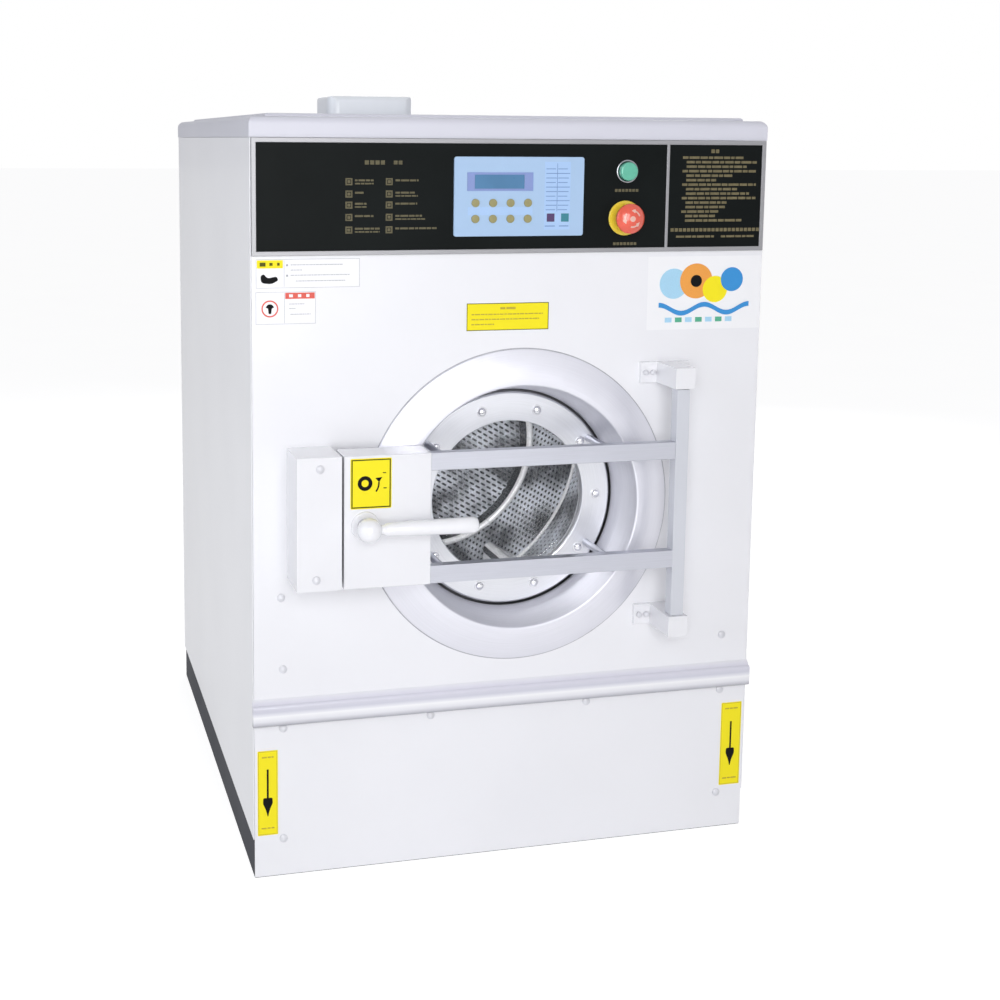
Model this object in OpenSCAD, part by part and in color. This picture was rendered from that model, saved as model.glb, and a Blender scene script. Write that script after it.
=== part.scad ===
// Front-loading washer-extractor, hard mounted on a channel frame.
// Millimetres. The front faces -Y, the origin is the middle of the anchor bolts at floor level.

/* [Cabinet] */
// Width over the two side panels
cab_w = 860; // [830:5:900]
// Depth from the front panel to the rear panel
cab_d = 980; // [970:5:1040]
// Height of the seam between the walls and the top cover
cab_h = 1188; // [1180:2:1230]
// Thickness of the cabinet sheet metal
sheet_t = 2; // [1.5:0.25:3]
// Height of the lower edge of the side and rear panels
skirt_z = 66; // [40:1:76]
// Height of the lower edge of the service panel
service_z = 2; // [2:1:20]
// Height of the seam between service panel and front panel
seam_z = 279; // [270:1:290]
// Height of the moulding that covers that seam
rail_h = 43; // [34:1:50]
// How far the moulding stands out from the front
rail_proud = 12; // [10:1:16]
// Radius of the moulding's nose
rail_nose_r = 5; // [3:0.5:8]
// Rise of the moulding's sloping shelf
rail_shelf = 8; // [5:0.5:12]
// Height of the top cover's rim
cap_h = 32; // [26:1:44]
// Rounding of the top cover's upper edges
cap_r = 12; // [6:1:20]
// Height of the raised field of the top cover
crown_h = 5; // [3:1:10]
// Inset of the raised field from the rim
crown_inset = 30; // [20:1:60]
// Distance of the outer panel screws from the cabinet's sides
screw_inset = 49; // [42:1:60]
// Distance of the middle panel screws from the cabinet's middle
screw_mid_x = 136; // [100:2:200]
// Length of a louvre slot in the rear panel
louvre_w = 150; // [80:5:180]
// Height of a louvre slot
louvre_h = 7; // [5:1:12]
// Number of louvre slots
louvre_n = 7; // [3:1:9]
// Gap between neighbouring panels
panel_gap = 0.2; // [0.1:0.1:0.6]

/* [Floor frame] */
// Height of the floor frame's steel tube
base_h = 80; // [78:1:100]
// Width of that tube
base_tube_w = 60; // [50:1:66]
// Distance between anchor holes across the machine
anchor_dx = 640; // [600:5:660]
// Distance between anchor holes front to back
anchor_dy = 750; // [720:5:770]
// Diameter of an anchor hole
anchor_d = 18; // [14:0.5:22]
// Side of a square anchor plate
foot_w = 110; // [104:1:116]
// Thickness of an anchor plate
foot_t = 10; // [8:1:16]
// Wall of the floor frame's channels
base_t = 5; // [3:0.5:8]
// Side of a corner post
post_w = 30; // [25:1:36]
// Wall of a corner post
post_t = 2.5; // [2:0.5:4]
// Thickness of the cradle plates under the tub
saddle_t = 10; // [8:1:14]
// Width of the cradle plates
saddle_w = 460; // [400:5:500]

// Width of the arch over the drain pipe in the plates on the floor frame
pipe_arch_w = 120; // [104:2:160]

/* [Tub and drum] */
// Sideways offset of the drum axis
drum_x = 9; // [0:1:15]
// Height of the drum axis
drum_z = 595; // [590:1:615]
// Outer radius of the drum
drum_r = 312; // [290:1:320]
// Length of the drum
drum_len = 440; // [400:5:450]
// Thickness of the drum wall
drum_t = 2; // [1.5:0.25:3]
// Radius of the drum's mouth
drum_mouth_r = 165; // [155:1:180]
// Height of a lifter rib
lifter_h = 70; // [50:1:80]
// Width of a lifter rib at its foot
lifter_w = 90; // [70:1:110]
// Number of lifter ribs
lifter_n = 3; // [3:1:4]
// Angle of the first lifter rib
lifter_a = -61; // [-90:1:0]
// Clearance between the drum and the tub's wall
tub_gap = 30; // [22:1:34]
// Thickness of the tub wall
tub_t = 3; // [2:0.5:5]
// Thickness of the tub's back plate
tub_back_t = 6; // [5:0.5:8]
// Radius of the tub's mouth
mouth_r = 150; // [140:1:158]
// Radius of the drain neck and pipe
drain_r = 38; // [30:1:42]
// Wall of the drain pipe
drain_t = 4; // [3:0.5:6]
// Distance of the drain neck behind the front panel
drain_y = 300; // [260:5:340]
// Height of the drain pipe's axis
drain_pipe_z = 160; // [150:1:175]
// Length of drain pipe behind the rear panel
drain_out = 40; // [30:1:70]

/* [Drive] */
// Diameter of the main shaft
shaft_d = 60; // [50:1:70]
// Outer radius of the shaft bearings
bearing_r = 55; // [48:1:60]
// Width of a shaft bearing
bearing_w = 27; // [20:1:32]
// Outer radius of the bearing housing's hub
hub_r = 80; // [72:1:90]
// Width of the bearing housing's foot
housing_foot_w = 280; // [240:5:320]
// Length of the bearing housing's hub
hub_len = 176; // [160:1:180]
// Running clearance of shafts and pins, on the radius
run_gap = 0.05; // [0.02:0.01:0.1]
// Radius of the drum pulley
pulley_r = 200; // [180:5:210]
// Radius of the motor pulley
motor_pulley_r = 40; // [35:1:50]
// Width of the pulleys
pulley_w = 45; // [36:1:50]
// Thickness of the drive belt
belt_t = 6; // [4:0.5:9]
// Sideways distance of the motor axis from the drum axis
motor_dx = 241; // [236:1:250]
// Height of the motor axis above the floor frame
motor_h = 105; // [98:1:115]
// Radius of the motor
motor_r = 85; // [75:1:90]
// Length of the motor
motor_len = 210; // [190:5:215]
// Diameter of the motor shaft
motor_shaft_d = 28; // [22:1:32]

/* [Door] */
// Radius of the door disc
door_r = 180; // [176:1:181]
// Thickness of the door disc
door_t = 8; // [6:0.5:9]
// Distance of the door disc's face behind the front panel
door_set = 52; // [50:1:56]
// Radius of the visible glass
glass_r = 131; // [124:1:133]
// Thickness of the glass
glass_t = 8; // [6:0.5:9]
// Depth of the glass bowl behind its flange
bowl_d = 50; // [30:1:60]
// Thickness of the door gasket's lip
gasket_t = 10; // [8:0.5:12]
// Number of door bolts
bolt_n = 10; // [6:1:12]
// Radius of the circle of door bolts
bolt_ring_r = 155; // [154:0.5:156]
// Diameter of a door bolt's dome head
bolt_head_d = 14; // [11:0.5:16]
// Outer radius of the surround ring
surround_r = 258; // [250:1:268]
// Radius of the surround ring's raised inner edge
surround_in_r = 201; // [198:1:206]
// How far that inner edge stands out from the front panel
surround_rise = 20; // [14:1:22]
// Thickness of the surround ring
surround_t = 2.5; // [2:0.25:3]

/* [Door carrier] */
// Sideways distance of the hinge axis from the cabinet's middle
hinge_x = 260; // [256:1:272]
// Distance of the hinge axis in front of the front panel
hinge_out = 67; // [64:1:70]
// Side of the square hinge post
hinge_post_w = 22; // [20:1:30]
// Height of the hinge post's lower end
hinge_post_z = 415; // [410:1:425]
// Length of the hinge post
hinge_post_h = 375; // [350:1:380]
// Diameter of the hinge pins
hinge_pin_d = 14; // [10:0.5:16]
// Length of a hinge pin in its bracket
hinge_pin_len = 20; // [14:1:24]
// Height of a hinge bracket
bracket_h = 34; // [28:1:38]
// Width of a hinge bracket's block
bracket_w = 34; // [30:1:36]
// Height of the upper arm's middle above the drum axis
arm_hi = 96; // [90:1:97]
// Height of the lower arm's middle below the drum axis
arm_lo = 84; // [80:1:90]
// Height of an arm
arm_h = 28; // [24:1:30]
// Thickness of an arm
arm_t = 18; // [14:1:20]
// Diameter of the studs between arms and disc
stud_d = 12; // [10:0.5:14]
// Sideways distance of the studs from the drum axis
stud_dx = 140; // [139:0.5:141]

/* [Latch] */
// Width of the latch box on the door
latch_w = 138; // [128:1:142]
// How far latch box and keeper stand out from the front panel
latch_out = 86; // [84:1:92]
// Depth of the latch box
latch_d = 60; // [56:1:62]
// Place of the latch box's left side
latch_x = -300.5; // [-303:0.5:-298]
// Gap between the latch box and the keeper
latch_gap = 3.5; // [2.5:0.1:5]
// Width of the keeper
keeper_w = 70; // [62:1:78]
// Wall of the latch box and keeper
latch_t = 3; // [2:0.5:4]
// Place of the lever's axis
lever_x = -268; // [-270:1:-262]
// Height of the lever's axis above the drum axis
lever_up = 3; // [0:1:8]
// Length of the lever
lever_len = 172; // [150:1:190]
// Diameter of the lever's handle at its end
lever_d = 26; // [20:1:28]
// Diameter of the lever's ball
ball_d = 38; // [32:1:40]
// Distance of the lever's ball in front of the latch box
lever_out = 32; // [30:1:40]
// Diameter of the lever's spindle
spindle_d = 16; // [12:1:18]
// Throw of the latch bolt
bolt_throw = 30; // [25:1:31]
// Height of the latch bolt
latch_bolt_h = 14; // [10:1:18]
// Thickness of the latch bolt
latch_bolt_t = 12; // [8:1:14]

/* [Control panel] */
// Height of the control panel
fascia_h = 180; // [170:1:190]
// Thickness of the black fascia plate
fascia_t = 3; // [2:0.5:4]
// Width of the silver frame's bars
frame_w = 7; // [5:0.5:10]
// How far the silver frame stands out
frame_proud = 5; // [4.5:0.5:7]
// Place of the silver divider
divider_x = 254; // [248:1:260]
// Width of the silver divider
divider_w = 5; // [4:0.5:8]
// Width of the keypad module
keypad_w = 216; // [214:1:224]
// Height of the keypad module
keypad_h = 125; // [122:1:130]
// How far the keypad module stands out from the fascia
keypad_proud = 4; // [3.5:0.5:6]
// Depth of the controller behind the fascia
keypad_d = 40; // [30:1:60]
// Width of the display window
lcd_w = 82; // [76:1:84]
// Height of the display window
lcd_h = 22; // [18:1:24]
// Diameter of a key
key_d = 13; // [10:0.5:15]
// Sideways distance between keys
key_dx = 29; // [27:0.5:29.5]
// Height distance between key rows
key_dz = 25; // [22:0.5:26]
// How far a key stands out
key_proud = 2; // [1.5:0.25:3]
// Travel of a key
key_travel = 1; // [0.5:0.1:1.2]
// Diameter of the start button
start_d = 30; // [24:1:32]
// How far the start button stands out
start_proud = 12; // [8:1:16]
// Diameter of the emergency stop's collar
collar_d = 56; // [50:1:62]
// Diameter of the emergency stop's head
mushroom_d = 48; // [40:1:50]
// Diameter of the emergency stop's stem
stem_d = 24; // [20:1:28]

/* [Soap hopper] */
// Place of the hopper's middle across the cabinet
hopper_x = -193; // [-200:1:-190]
// Distance of the hopper's front behind the front panel
hopper_y = 206; // [200:1:230]
// Width of the hopper
hopper_w = 135; // [120:1:140]
// Length of the hopper
hopper_len = 100; // [80:1:130]
// Radius of the hopper's upright corners
hopper_corner_r = 14; // [8:1:18]
// Depth of the hopper below the top cover
hopper_d = 150; // [110:1:170]
// Height of the hopper's rim above the raised field
hopper_rim = 4; // [3:0.5:5]
// Height of the lid
lid_h = 30; // [24:1:34]
// Radius of the lid's upper edges
lid_edge_r = 9; // [4:0.5:12]
// Wall of the lid
lid_t = 2.5; // [1.5:0.25:3]
// Radius of the feed tube to the tub
feed_r = 20; // [15:1:24]

/* [Services] */
// Radius of a water inlet's thread
inlet_r = 13.2; // [10:0.1:16]
// Length of a water inlet behind the rear panel
inlet_len = 20; // [16:1:28]
// Thickness of the nuts that hold the inlets and the drain pipe in the rear panel
nut_flange_t = 4; // [3:0.5:6]
// Distance between the two water inlets
inlet_dx = 70; // [60:1:80]
// Bore radius of the cable gland
gland_bore_r = 9; // [6:0.5:12]
// Outer radius of the cable gland's thread
gland_r = 16; // [14:0.5:20]
// Length of the cable gland behind the rear panel
gland_len = 30; // [24:1:40]
// Width of the control case
inverter_w = 190; // [160:5:200]
// Height of the control case
inverter_h = 280; // [220:5:300]
// Depth of the control case
inverter_d = 100; // [80:5:110]
// Distance between its cooling fins
fin_dx = 20; // [12:1:30]

/* [Hidden] */
$fn = 96;
// Sharp overshoot of a cut past the face it opens
cut = 1;
// Clearance of a seated piece
seat = 0.3;
// Clearance of a cover or plate in its cutout
fit = 0.2;
// Clearance of a pressed-in piece
press_gap = 0.02;

// Cabinet
front_y = -cab_d / 2;
half_w = cab_w / 2;
in_x = half_w - sheet_t;
frame_x = in_x - seat;
back_in = cab_d - sheet_t;
cap_z = cab_h + cap_h;
field_z = cap_z + crown_h;
cap_over = 1;
white = [0.93, 0.93, 0.96];
steel = [0.78, 0.79, 0.82];
dark = [0.13, 0.13, 0.15];

// Door stack, as distances behind the front panel
disc_back = door_set + door_t;
seal_t = 1.5;
glass_y = disc_back + seal_t;
glass_out_r = glass_r + 12;
seal_out_r = glass_out_r + 3;
clamp_lip_y = glass_y + glass_t + seal_t;
clamp_y = clamp_lip_y + 5;
clamp_out_r = bolt_ring_r + 8;
gasket_in_r = clamp_out_r + 8;
gasket_out_r = gasket_in_r + gasket_t;

// Tub and drum, as distances behind the front panel
tub_r = drum_r + tub_gap + tub_t;
gasket_len = 24;
tub_y0 = disc_back + gasket_len;
drum_y0 = tub_y0 + tub_t + 13;
drum_y1 = drum_y0 + drum_len;
drum_plate_t = drum_t + 0.5;
spider_t = 7.5;
drum_y2 = drum_y1 + drum_plate_t + spider_t;
tub_y1 = drum_y2 + 3;
tub_y2 = tub_y1 + tub_back_t;
housing_t = 12;
housing_y1 = tub_y2 + hub_len;
pulley_y0 = housing_y1 + 10;
pulley_y1 = pulley_y0 + pulley_w;
shaft_y1 = pulley_y1 + 10;
motor_x = drum_x + motor_dx;
motor_z = base_h + motor_h;
motor_y1 = pulley_y0 - 5;
motor_y0 = motor_y1 - motor_len;
saddle_y = [tub_y0 + 76, tub_y1 - 103];
bearing_y = tub_y2 + housing_t / 2;
motor_rail_y = bearing_y + 155;
pipe_gap = 6;

// Hinge and latch
post_z1 = hinge_post_z + hinge_post_h;
bracket_hi = post_z1 + 2;
bracket_lo = hinge_post_z - seat - bracket_h;
arm_hi_z = drum_z + arm_hi;
arm_lo_z = drum_z - arm_lo;
arm_y0 = -latch_out + 8;
arm_y1 = arm_y0 + arm_t;
arm_x0 = latch_x + latch_w;
arm_x1 = hinge_x - hinge_post_w / 2;
latch_z0 = arm_lo_z - arm_h / 2 + 1;
latch_z1 = arm_hi_z + arm_h / 2 + 2;
latch_y1 = -latch_out + latch_d;
keeper_x1 = latch_x - latch_gap;
keeper_x0 = keeper_x1 - keeper_w;
lever_z = drum_z + lever_up;
lever_y = -latch_out - lever_out;
// A quarter turn of the lever moves the bolt by its throw
pinion_r = bolt_throw * 2 / PI;
latch_bolt_z1 = lever_z - pinion_r - fit;
latch_bolt_z0 = latch_bolt_z1 - latch_bolt_h;
latch_bolt_y0 = -latch_out + 24;
latch_bolt_y1 = latch_bolt_y0 + latch_bolt_t;
latch_bolt_x0 = latch_x + 1;
latch_bolt_x1 = latch_x + latch_w - 36;

// Control panel
fascia_z1 = cab_h - panel_gap - fit;
fascia_z0 = fascia_z1 - fascia_h;
fascia_x = in_x - panel_gap;
keypad_z = fascia_z0 + fascia_h / 2;
keypad_y = -fascia_t - keypad_proud;
lcd_x = -33;
lcd_z = keypad_z + 23.5;
key_x = -73;
key_z = keypad_z - 10;
start_x = 183;
start_z = fascia_z0 + 130;
estop_x = 181;
estop_z = fascia_z0 + 55;
collar_y = -fascia_t - 3;
head_y = collar_y - 12;
head_h = 20;
spigot_r = 6;

// Soap hopper
hopper_z0 = cap_z - hopper_d;
hopper_z1 = field_z + hopper_rim;
hopper_y1 = hopper_y + hopper_len;
rim_t = 2;
rim_w = 3;
lid_z0 = field_z + rim_t + seat;
lid_side = 6;
lid_pin_y = hopper_y1 + lid_side + 7;
lid_pin_z = lid_z0 + 9;
lid_pin_r = 2.5;
lid_barrel_r = 5;
lid_barrel_w = 60;
lid_ear_t = 6;

// Services
gland_x = half_w - 100;
gland_z = cab_h - 688;
inlet_x = half_w - 150;
inlet_z = cab_h - 138;
inverter_x = half_w - 290;
inverter_z = cab_h - 538;
louvre_x = half_w - 200;
louvre_z = cab_h - 328;

// Screw places, as [x, z, radius of the head]
screw_x = half_w - screw_inset;
front_screws = [[-screw_x, seam_z + 69], [screw_x, seam_z + 69], [-screw_x - 3, seam_z + 187]];
service_screws = [
  [-screw_x, seam_z - 29], [-screw_mid_x, seam_z - 29], [screw_mid_x, seam_z - 29], [screw_x, seam_z - 29],
  [-screw_x, base_h - 16], [screw_x, base_h - 16]];
keeper_screws = [[keeper_x0 + 36, latch_z1 - 18], [keeper_x0 + 30, latch_z0 + 18]];
bracket_x0 = hinge_x - 45;
bracket_screws = [bracket_x0 + 8, bracket_x0 + 21];
bracket_plate_t = 8;
screw_head_r = 6.5;
socket_head_r = 4.5;
screw_r = 3;
screw_len = 6;

// Places a flat outline drawn in x and z as a plate from distance y backwards
module plate(y, t) {
  translate([0, front_y + y + t, 0])
    rotate([90, 0, 0])
      linear_extrude(t)
        children();
}

// Turns a profile drawn in radius and distance about an axis that runs front to back
module turned(x, z) {
  translate([x, front_y, z])
    rotate([-90, 0, 0])
      rotate_extrude()
        children();
}

// A round bar that runs front to back
module rod(x, z, y0, y1, r) {
  translate([x, front_y + y1, z])
    rotate([90, 0, 0])
      cylinder(h = y1 - y0, r = r);
}

// A ring that runs front to back
module ring(x, z, y0, y1, r, bore) {
  difference() {
    rod(x, z, y0, y1, r);
    rod(x, z, y0 - cut, y1 + cut, bore);
  }
}

// A block between two corners, its y given as distance behind the front panel
module block(a, b) {
  translate([a[0], front_y + a[1], a[2]])
    cube([b[0] - a[0], b[1] - a[1], b[2] - a[2]]);
}

// A rectangle between two corners
module area(x0, z0, x1, z1) {
  translate([x0, z0])
    square([x1 - x0, z1 - z0]);
}

// A rectangle whose upper corners are round
module arch(w, h, r) {
  translate([-w / 2, 0])
    square([w, h - r]);
  translate([-w / 2 + r, 0])
    square([w - 2 * r, h]);
  for (side = [-1, 1])
    translate([side * (w / 2 - r), h - r])
      circle(r);
}

// A rectangle with four round corners
module rounded(w, h, r) {
  square([w, h - 2 * r], center = true);
  square([w - 2 * r, h], center = true);
  for (x = [-1, 1], z = [-1, 1])
    translate([x * (w / 2 - r), z * (h / 2 - r)])
      circle(r);
}

module square_tube(x, y, z0, z1, w, t) {
  translate([x, y, z0])
    linear_extrude(z1 - z0)
      difference() {
        square(w, center = true);
        square(w - 2 * t, center = true);
      }
}

// Holes for panel screws
module screw_holes(places) {
  for (p = places)
    translate(p)
      circle(screw_r + fit);
}

// A channel that opens towards the rear
module cross_rail(y) {
  x = frame_x - base_tube_w;
  difference() {
    block([-x, y - base_tube_w / 2, 0], [x, y + base_tube_w / 2, base_h]);
    block([-x - cut, y - base_tube_w / 2 + base_t, base_t],
          [x + cut, y + base_tube_w / 2 + cut, base_h - base_t]);
  }
}

// A channel that opens towards the middle
module side_rail() {
  y0 = sheet_t + seat;
  y1 = back_in - seat;
  difference() {
    block([frame_x - base_tube_w, y0, 0], [frame_x, y1, base_h]);
    block([frame_x - base_tube_w - cut, y0 - cut, base_t], [frame_x - base_t, y1 + cut, base_h - base_t]);
  }
}

// The way for the drain pipe through a plate that stands on the floor frame
module pipe_arch() {
  area(drum_x - pipe_arch_w / 2, base_h - 2 * cut,
       drum_x + pipe_arch_w / 2, drain_pipe_z + drain_r + pipe_gap);
}

// A cradle plate with its upper edge cut to the tub
module saddle(y) {
  plate(y - saddle_t / 2, saddle_t)
    difference() {
      area(drum_x - saddle_w / 2, base_h - cut, drum_x + saddle_w / 2, drum_z - tub_r * 0.74);
      translate([drum_x, drum_z])
        circle(tub_r + seat);
      pipe_arch();
    }
}

module base_frame() {
  color(dark)
    difference() {
      union() {
        side_rail();
        mirror([1, 0, 0])
          side_rail();
        cross_rail(sheet_t + seat + base_tube_w / 2);
        for (y = saddle_y)
          cross_rail(y);
        cross_rail(bearing_y);
        cross_rail(motor_rail_y);
        cross_rail(back_in - seat - base_tube_w / 2);
        for (y = saddle_y)
          saddle(y);
        for (x = [-1, 1], y = [-1, 1])
          translate([x * anchor_dx / 2, y * anchor_dy / 2, foot_t / 2])
            cube([foot_w, foot_w, foot_t], center = true);
      }
      for (x = [-1, 1], y = [-1, 1])
        translate([x * anchor_dx / 2, y * anchor_dy / 2, -cut])
          cylinder(h = foot_t + 2 * cut, d = anchor_d);
      for (p = service_screws)
        rod(p[0], p[1], 0, screw_len + cut, screw_r + fit);
    }
}

module corner_posts() {
  color(dark)
    for (x = [-1, 1], y = [sheet_t + seat, back_in - seat - post_w])
      square_tube(x * (frame_x - post_w / 2), front_y + y + post_w / 2,
                  base_h, cab_h - panel_gap, post_w, post_t);
}

module side_panel(side) {
  color(white)
    translate([side * (half_w - sheet_t / 2), -sheet_t / 2, 0])
      translate([-sheet_t / 2, -(back_in) / 2, skirt_z])
        cube([sheet_t, back_in, cab_h - panel_gap - skirt_z]);
}

module left_panel() {
  side_panel(-1);
}

module right_panel() {
  side_panel(1);
}

module rear_panel() {
  color(white)
    plate(back_in, sheet_t)
      difference() {
        area(-half_w, skirt_z, half_w, cab_h - panel_gap);
        translate([drum_x, drain_pipe_z])
          circle(drain_r + fit);
        for (side = [-1, 1])
          translate([inlet_x + side * inlet_dx / 2, inlet_z])
            circle(inlet_r + fit);
        translate([gland_x, gland_z])
          circle(gland_r + fit);
        for (side = [-1, 1], i = [0 : louvre_n - 1])
          translate([side * louvre_x - louvre_w / 2, louvre_z - i * 3 * louvre_h])
            square([louvre_w, louvre_h]);
      }
}

// A block with round upper edges, inset from the top cover's outline
module cap_block(inset, z0, z1, r) {
  intersection() {
    plate(-cap_over + inset, cab_d + 2 * (cap_over - inset))
      translate([0, z0])
        arch(cab_w + 2 * (cap_over - inset), z1 - z0, r);
    rotate([90, 0, 90])
      translate([0, 0, -half_w - cap_over + inset])
        linear_extrude(cab_w + 2 * (cap_over - inset))
          translate([0, z0])
            arch(cab_d + 2 * (cap_over - inset), z1 - z0, r);
  }
}

// The hopper's upright form, larger by grow all round
module hopper_form(grow, z0, z1) {
  translate([hopper_x, front_y + hopper_y + hopper_len / 2, z0])
    linear_extrude(z1 - z0)
      rounded(hopper_w + 2 * grow, hopper_len + 2 * grow, hopper_corner_r + grow);
}

module top_cover() {
  color(white)
    difference() {
      union() {
        cap_block(0, cab_h, cap_z, cap_r);
        cap_block(crown_inset, cap_z - cap_r, field_z, crown_h - 0.5);
      }
      cap_block(sheet_t, cab_h - cut, cap_z - sheet_t, cap_r - sheet_t);
      cap_block(crown_inset + sheet_t, cap_z - cap_r - cut, field_z - sheet_t, crown_h - 1);
      hopper_form(fit, cab_h, field_z + cut);
    }
}

module front_panel() {
  color(white)
    plate(0, sheet_t)
      difference() {
        area(-in_x + panel_gap, seam_z + panel_gap, in_x - panel_gap, cab_h - panel_gap);
        translate([drum_x, drum_z])
          circle(surround_r - 23);
        translate([0, keypad_z])
          square([keypad_w - 16 + 2 * fit, keypad_h - 15 + 2 * fit], center = true);
        translate([start_x, start_z])
          circle(d = start_d + 2 * run_gap);
        translate([estop_x, estop_z])
          circle(d = stem_d + 2 * run_gap);
        screw_holes(front_screws);
      }
}

module service_panel() {
  color(white)
    plate(0, sheet_t)
      difference() {
        area(-in_x + panel_gap, service_z, in_x - panel_gap, seam_z - panel_gap);
        screw_holes(service_screws);
      }
}

// The moulding's section: a sloping shelf above a round nose
module front_rail() {
  nose_x = rail_nose_r - rail_proud;
  rail_z = seam_z - rail_h / 2;
  nose_z1 = rail_z + rail_h - rail_shelf;
  color(white)
    rotate([90, 0, 90])
      translate([front_y, 0, -half_w - cap_over])
        linear_extrude(cab_w + 2 * cap_over)
          difference() {
            polygon([
              [0, rail_z], [-rail_proud, rail_z], [-rail_proud, nose_z1], [nose_x, nose_z1],
              [0, rail_z + rail_h]]);
            for (end = [[rail_z, 1], [nose_z1, -1]])
              difference() {
                translate([-rail_proud - cut, min(end[0] - end[1] * cut, end[0] + end[1] * rail_nose_r)])
                  square([rail_nose_r + cut, rail_nose_r + cut]);
                translate([nose_x, end[0] + end[1] * rail_nose_r])
                  circle(rail_nose_r);
              }
          }
}

// A domed screw whose head seats at distance y
module dome_screw(x, z, y) {
  turned(x, z)
    translate([0, y]) {
      intersection() {
        translate([0, 6])
          circle(r = 10);
        translate([0, -4])
          square([screw_head_r, 4]);
      }
      square([screw_r, screw_len]);
    }
}

// A socket head screw in a hinge bracket
module socket_screw(x, z) {
  rod(x, z, -bracket_plate_t - 5, -bracket_plate_t, socket_head_r);
  rod(x, z, -bracket_plate_t - cut, 0, screw_r);
}

module cabinet_screws() {
  color(steel) {
    for (p = front_screws)
      dome_screw(p[0], p[1], 0);
    for (p = service_screws)
      dome_screw(p[0], p[1], 0);
    for (p = keeper_screws)
      dome_screw(p[0], p[1], -latch_out);
    for (x = bracket_screws, z = [bracket_hi, bracket_lo])
      socket_screw(x, z + bracket_h / 2);
  }
}

module fascia_frame() {
  color([0.7, 0.7, 0.72]) {
    plate(-frame_proud, frame_proud)
      difference() {
        area(-fascia_x, fascia_z0, fascia_x, fascia_z1);
        area(-fascia_x + frame_w, fascia_z0 + frame_w, fascia_x - frame_w, fascia_z1 - frame_w);
      }
    plate(-frame_proud, frame_proud - fascia_t)
      area(divider_x - divider_w / 2, fascia_z0 + frame_w - cut,
           divider_x + divider_w / 2, fascia_z1 - frame_w + cut);
  }
}

module control_fascia() {
  color([0.05, 0.05, 0.05])
    plate(-fascia_t, fascia_t)
      difference() {
        area(-fascia_x + frame_w + fit, fascia_z0 + frame_w + fit,
             fascia_x - frame_w - fit, fascia_z1 - frame_w - fit);
        translate([0, keypad_z])
          square([keypad_w - 16 + 2 * fit, keypad_h - 15 + 2 * fit], center = true);
        translate([start_x, start_z])
          circle(d = start_d + 2 * run_gap);
        translate([estop_x, estop_z])
          circle(d = stem_d + 2 * run_gap);
      }
}

function key_place(i) = [key_x + (i % 4) * key_dx, key_z - floor(i / 4) * key_dz];

module keypad_module() {
  color([0.72, 0.82, 0.95])
    difference() {
      union() {
        plate(keypad_y, keypad_proud)
          translate([0, keypad_z])
            rounded(keypad_w, keypad_h, 4);
        plate(-fascia_t - cut, keypad_d + cut)
          translate([0, keypad_z])
            square([keypad_w - 16, keypad_h - 15], center = true);
      }
      plate(keypad_y - cut, cut + 1)
        translate([lcd_x + 1, lcd_z])
          square([lcd_w + 28, lcd_h + 8], center = true);
      plate(keypad_y - cut, cut + 3)
        translate([lcd_x, lcd_z])
          square([lcd_w + 2 * fit, lcd_h + 2 * fit], center = true);
      for (i = [0 : 7])
        rod(key_place(i)[0], key_place(i)[1], keypad_y - cut, keypad_y + 6 + key_travel,
            key_d / 2 + run_gap);
    }
}

module lcd_window() {
  color([0.35, 0.47, 0.68])
    plate(keypad_y + 1, 2)
      translate([lcd_x, lcd_z])
        square([lcd_w, lcd_h], center = true);
}

module key(i) {
  color([0.6, 0.58, 0.35])
    turned(key_place(i)[0], key_place(i)[1])
      translate([0, keypad_y - key_proud]) {
        translate([0, 0.8])
          square([key_d / 2, 4.2 + key_proud]);
        square([key_d / 2 - 0.8, 1]);
        intersection() {
          translate([key_d / 2 - 0.8, 0.8])
            circle(0.8);
          square([key_d / 2, 1]);
        }
      }
}

module start_button() {
  color([0.15, 0.6, 0.45])
    turned(start_x, start_z) {
      translate([0, -fascia_t - start_proud + 3])
        square([start_d / 2, start_proud + 25]);
      translate([0, -fascia_t - start_proud])
        square([start_d / 2 - 3, 4]);
      intersection() {
        translate([start_d / 2 - 3, -fascia_t - start_proud + 3])
          circle(3);
        translate([0, -fascia_t - start_proud])
          square([start_d / 2, 4]);
      }
    }
}

module estop_collar() {
  color([0.95, 0.8, 0.1])
    turned(estop_x, estop_z)
      difference() {
        polygon([[0, -fascia_t], [collar_d / 2, -fascia_t], [collar_d / 2, collar_y + 1],
                 [collar_d / 2 - 1, collar_y], [0, collar_y]]);
        translate([-cut, collar_y - cut])
          square([stem_d / 2 + run_gap + cut, 3 + 2 * cut]);
      }
}

module estop_stem() {
  color([0.3, 0.3, 0.32])
    turned(estop_x, estop_z) {
      translate([0, head_y])
        square([stem_d / 2, -head_y + 30]);
      translate([0, head_y - head_h + 6])
        square([spigot_r, head_h]);
    }
}

module estop_head() {
  color([0.85, 0.1, 0.08])
    turned(estop_x, estop_z)
      difference() {
        intersection() {
          translate([0, head_y - head_h + 34])
            circle(r = 34, $fn = 180);
          union() {
            translate([0, head_y - head_h])
              square([mushroom_d / 2 - 2, head_h - seat]);
            translate([0, head_y - head_h + 4])
              square([mushroom_d / 2, 9]);
          }
        }
        translate([-cut, head_y - head_h + 6 - seat])
          square([spigot_r + run_gap + cut, head_h]);
      }
}

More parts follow.
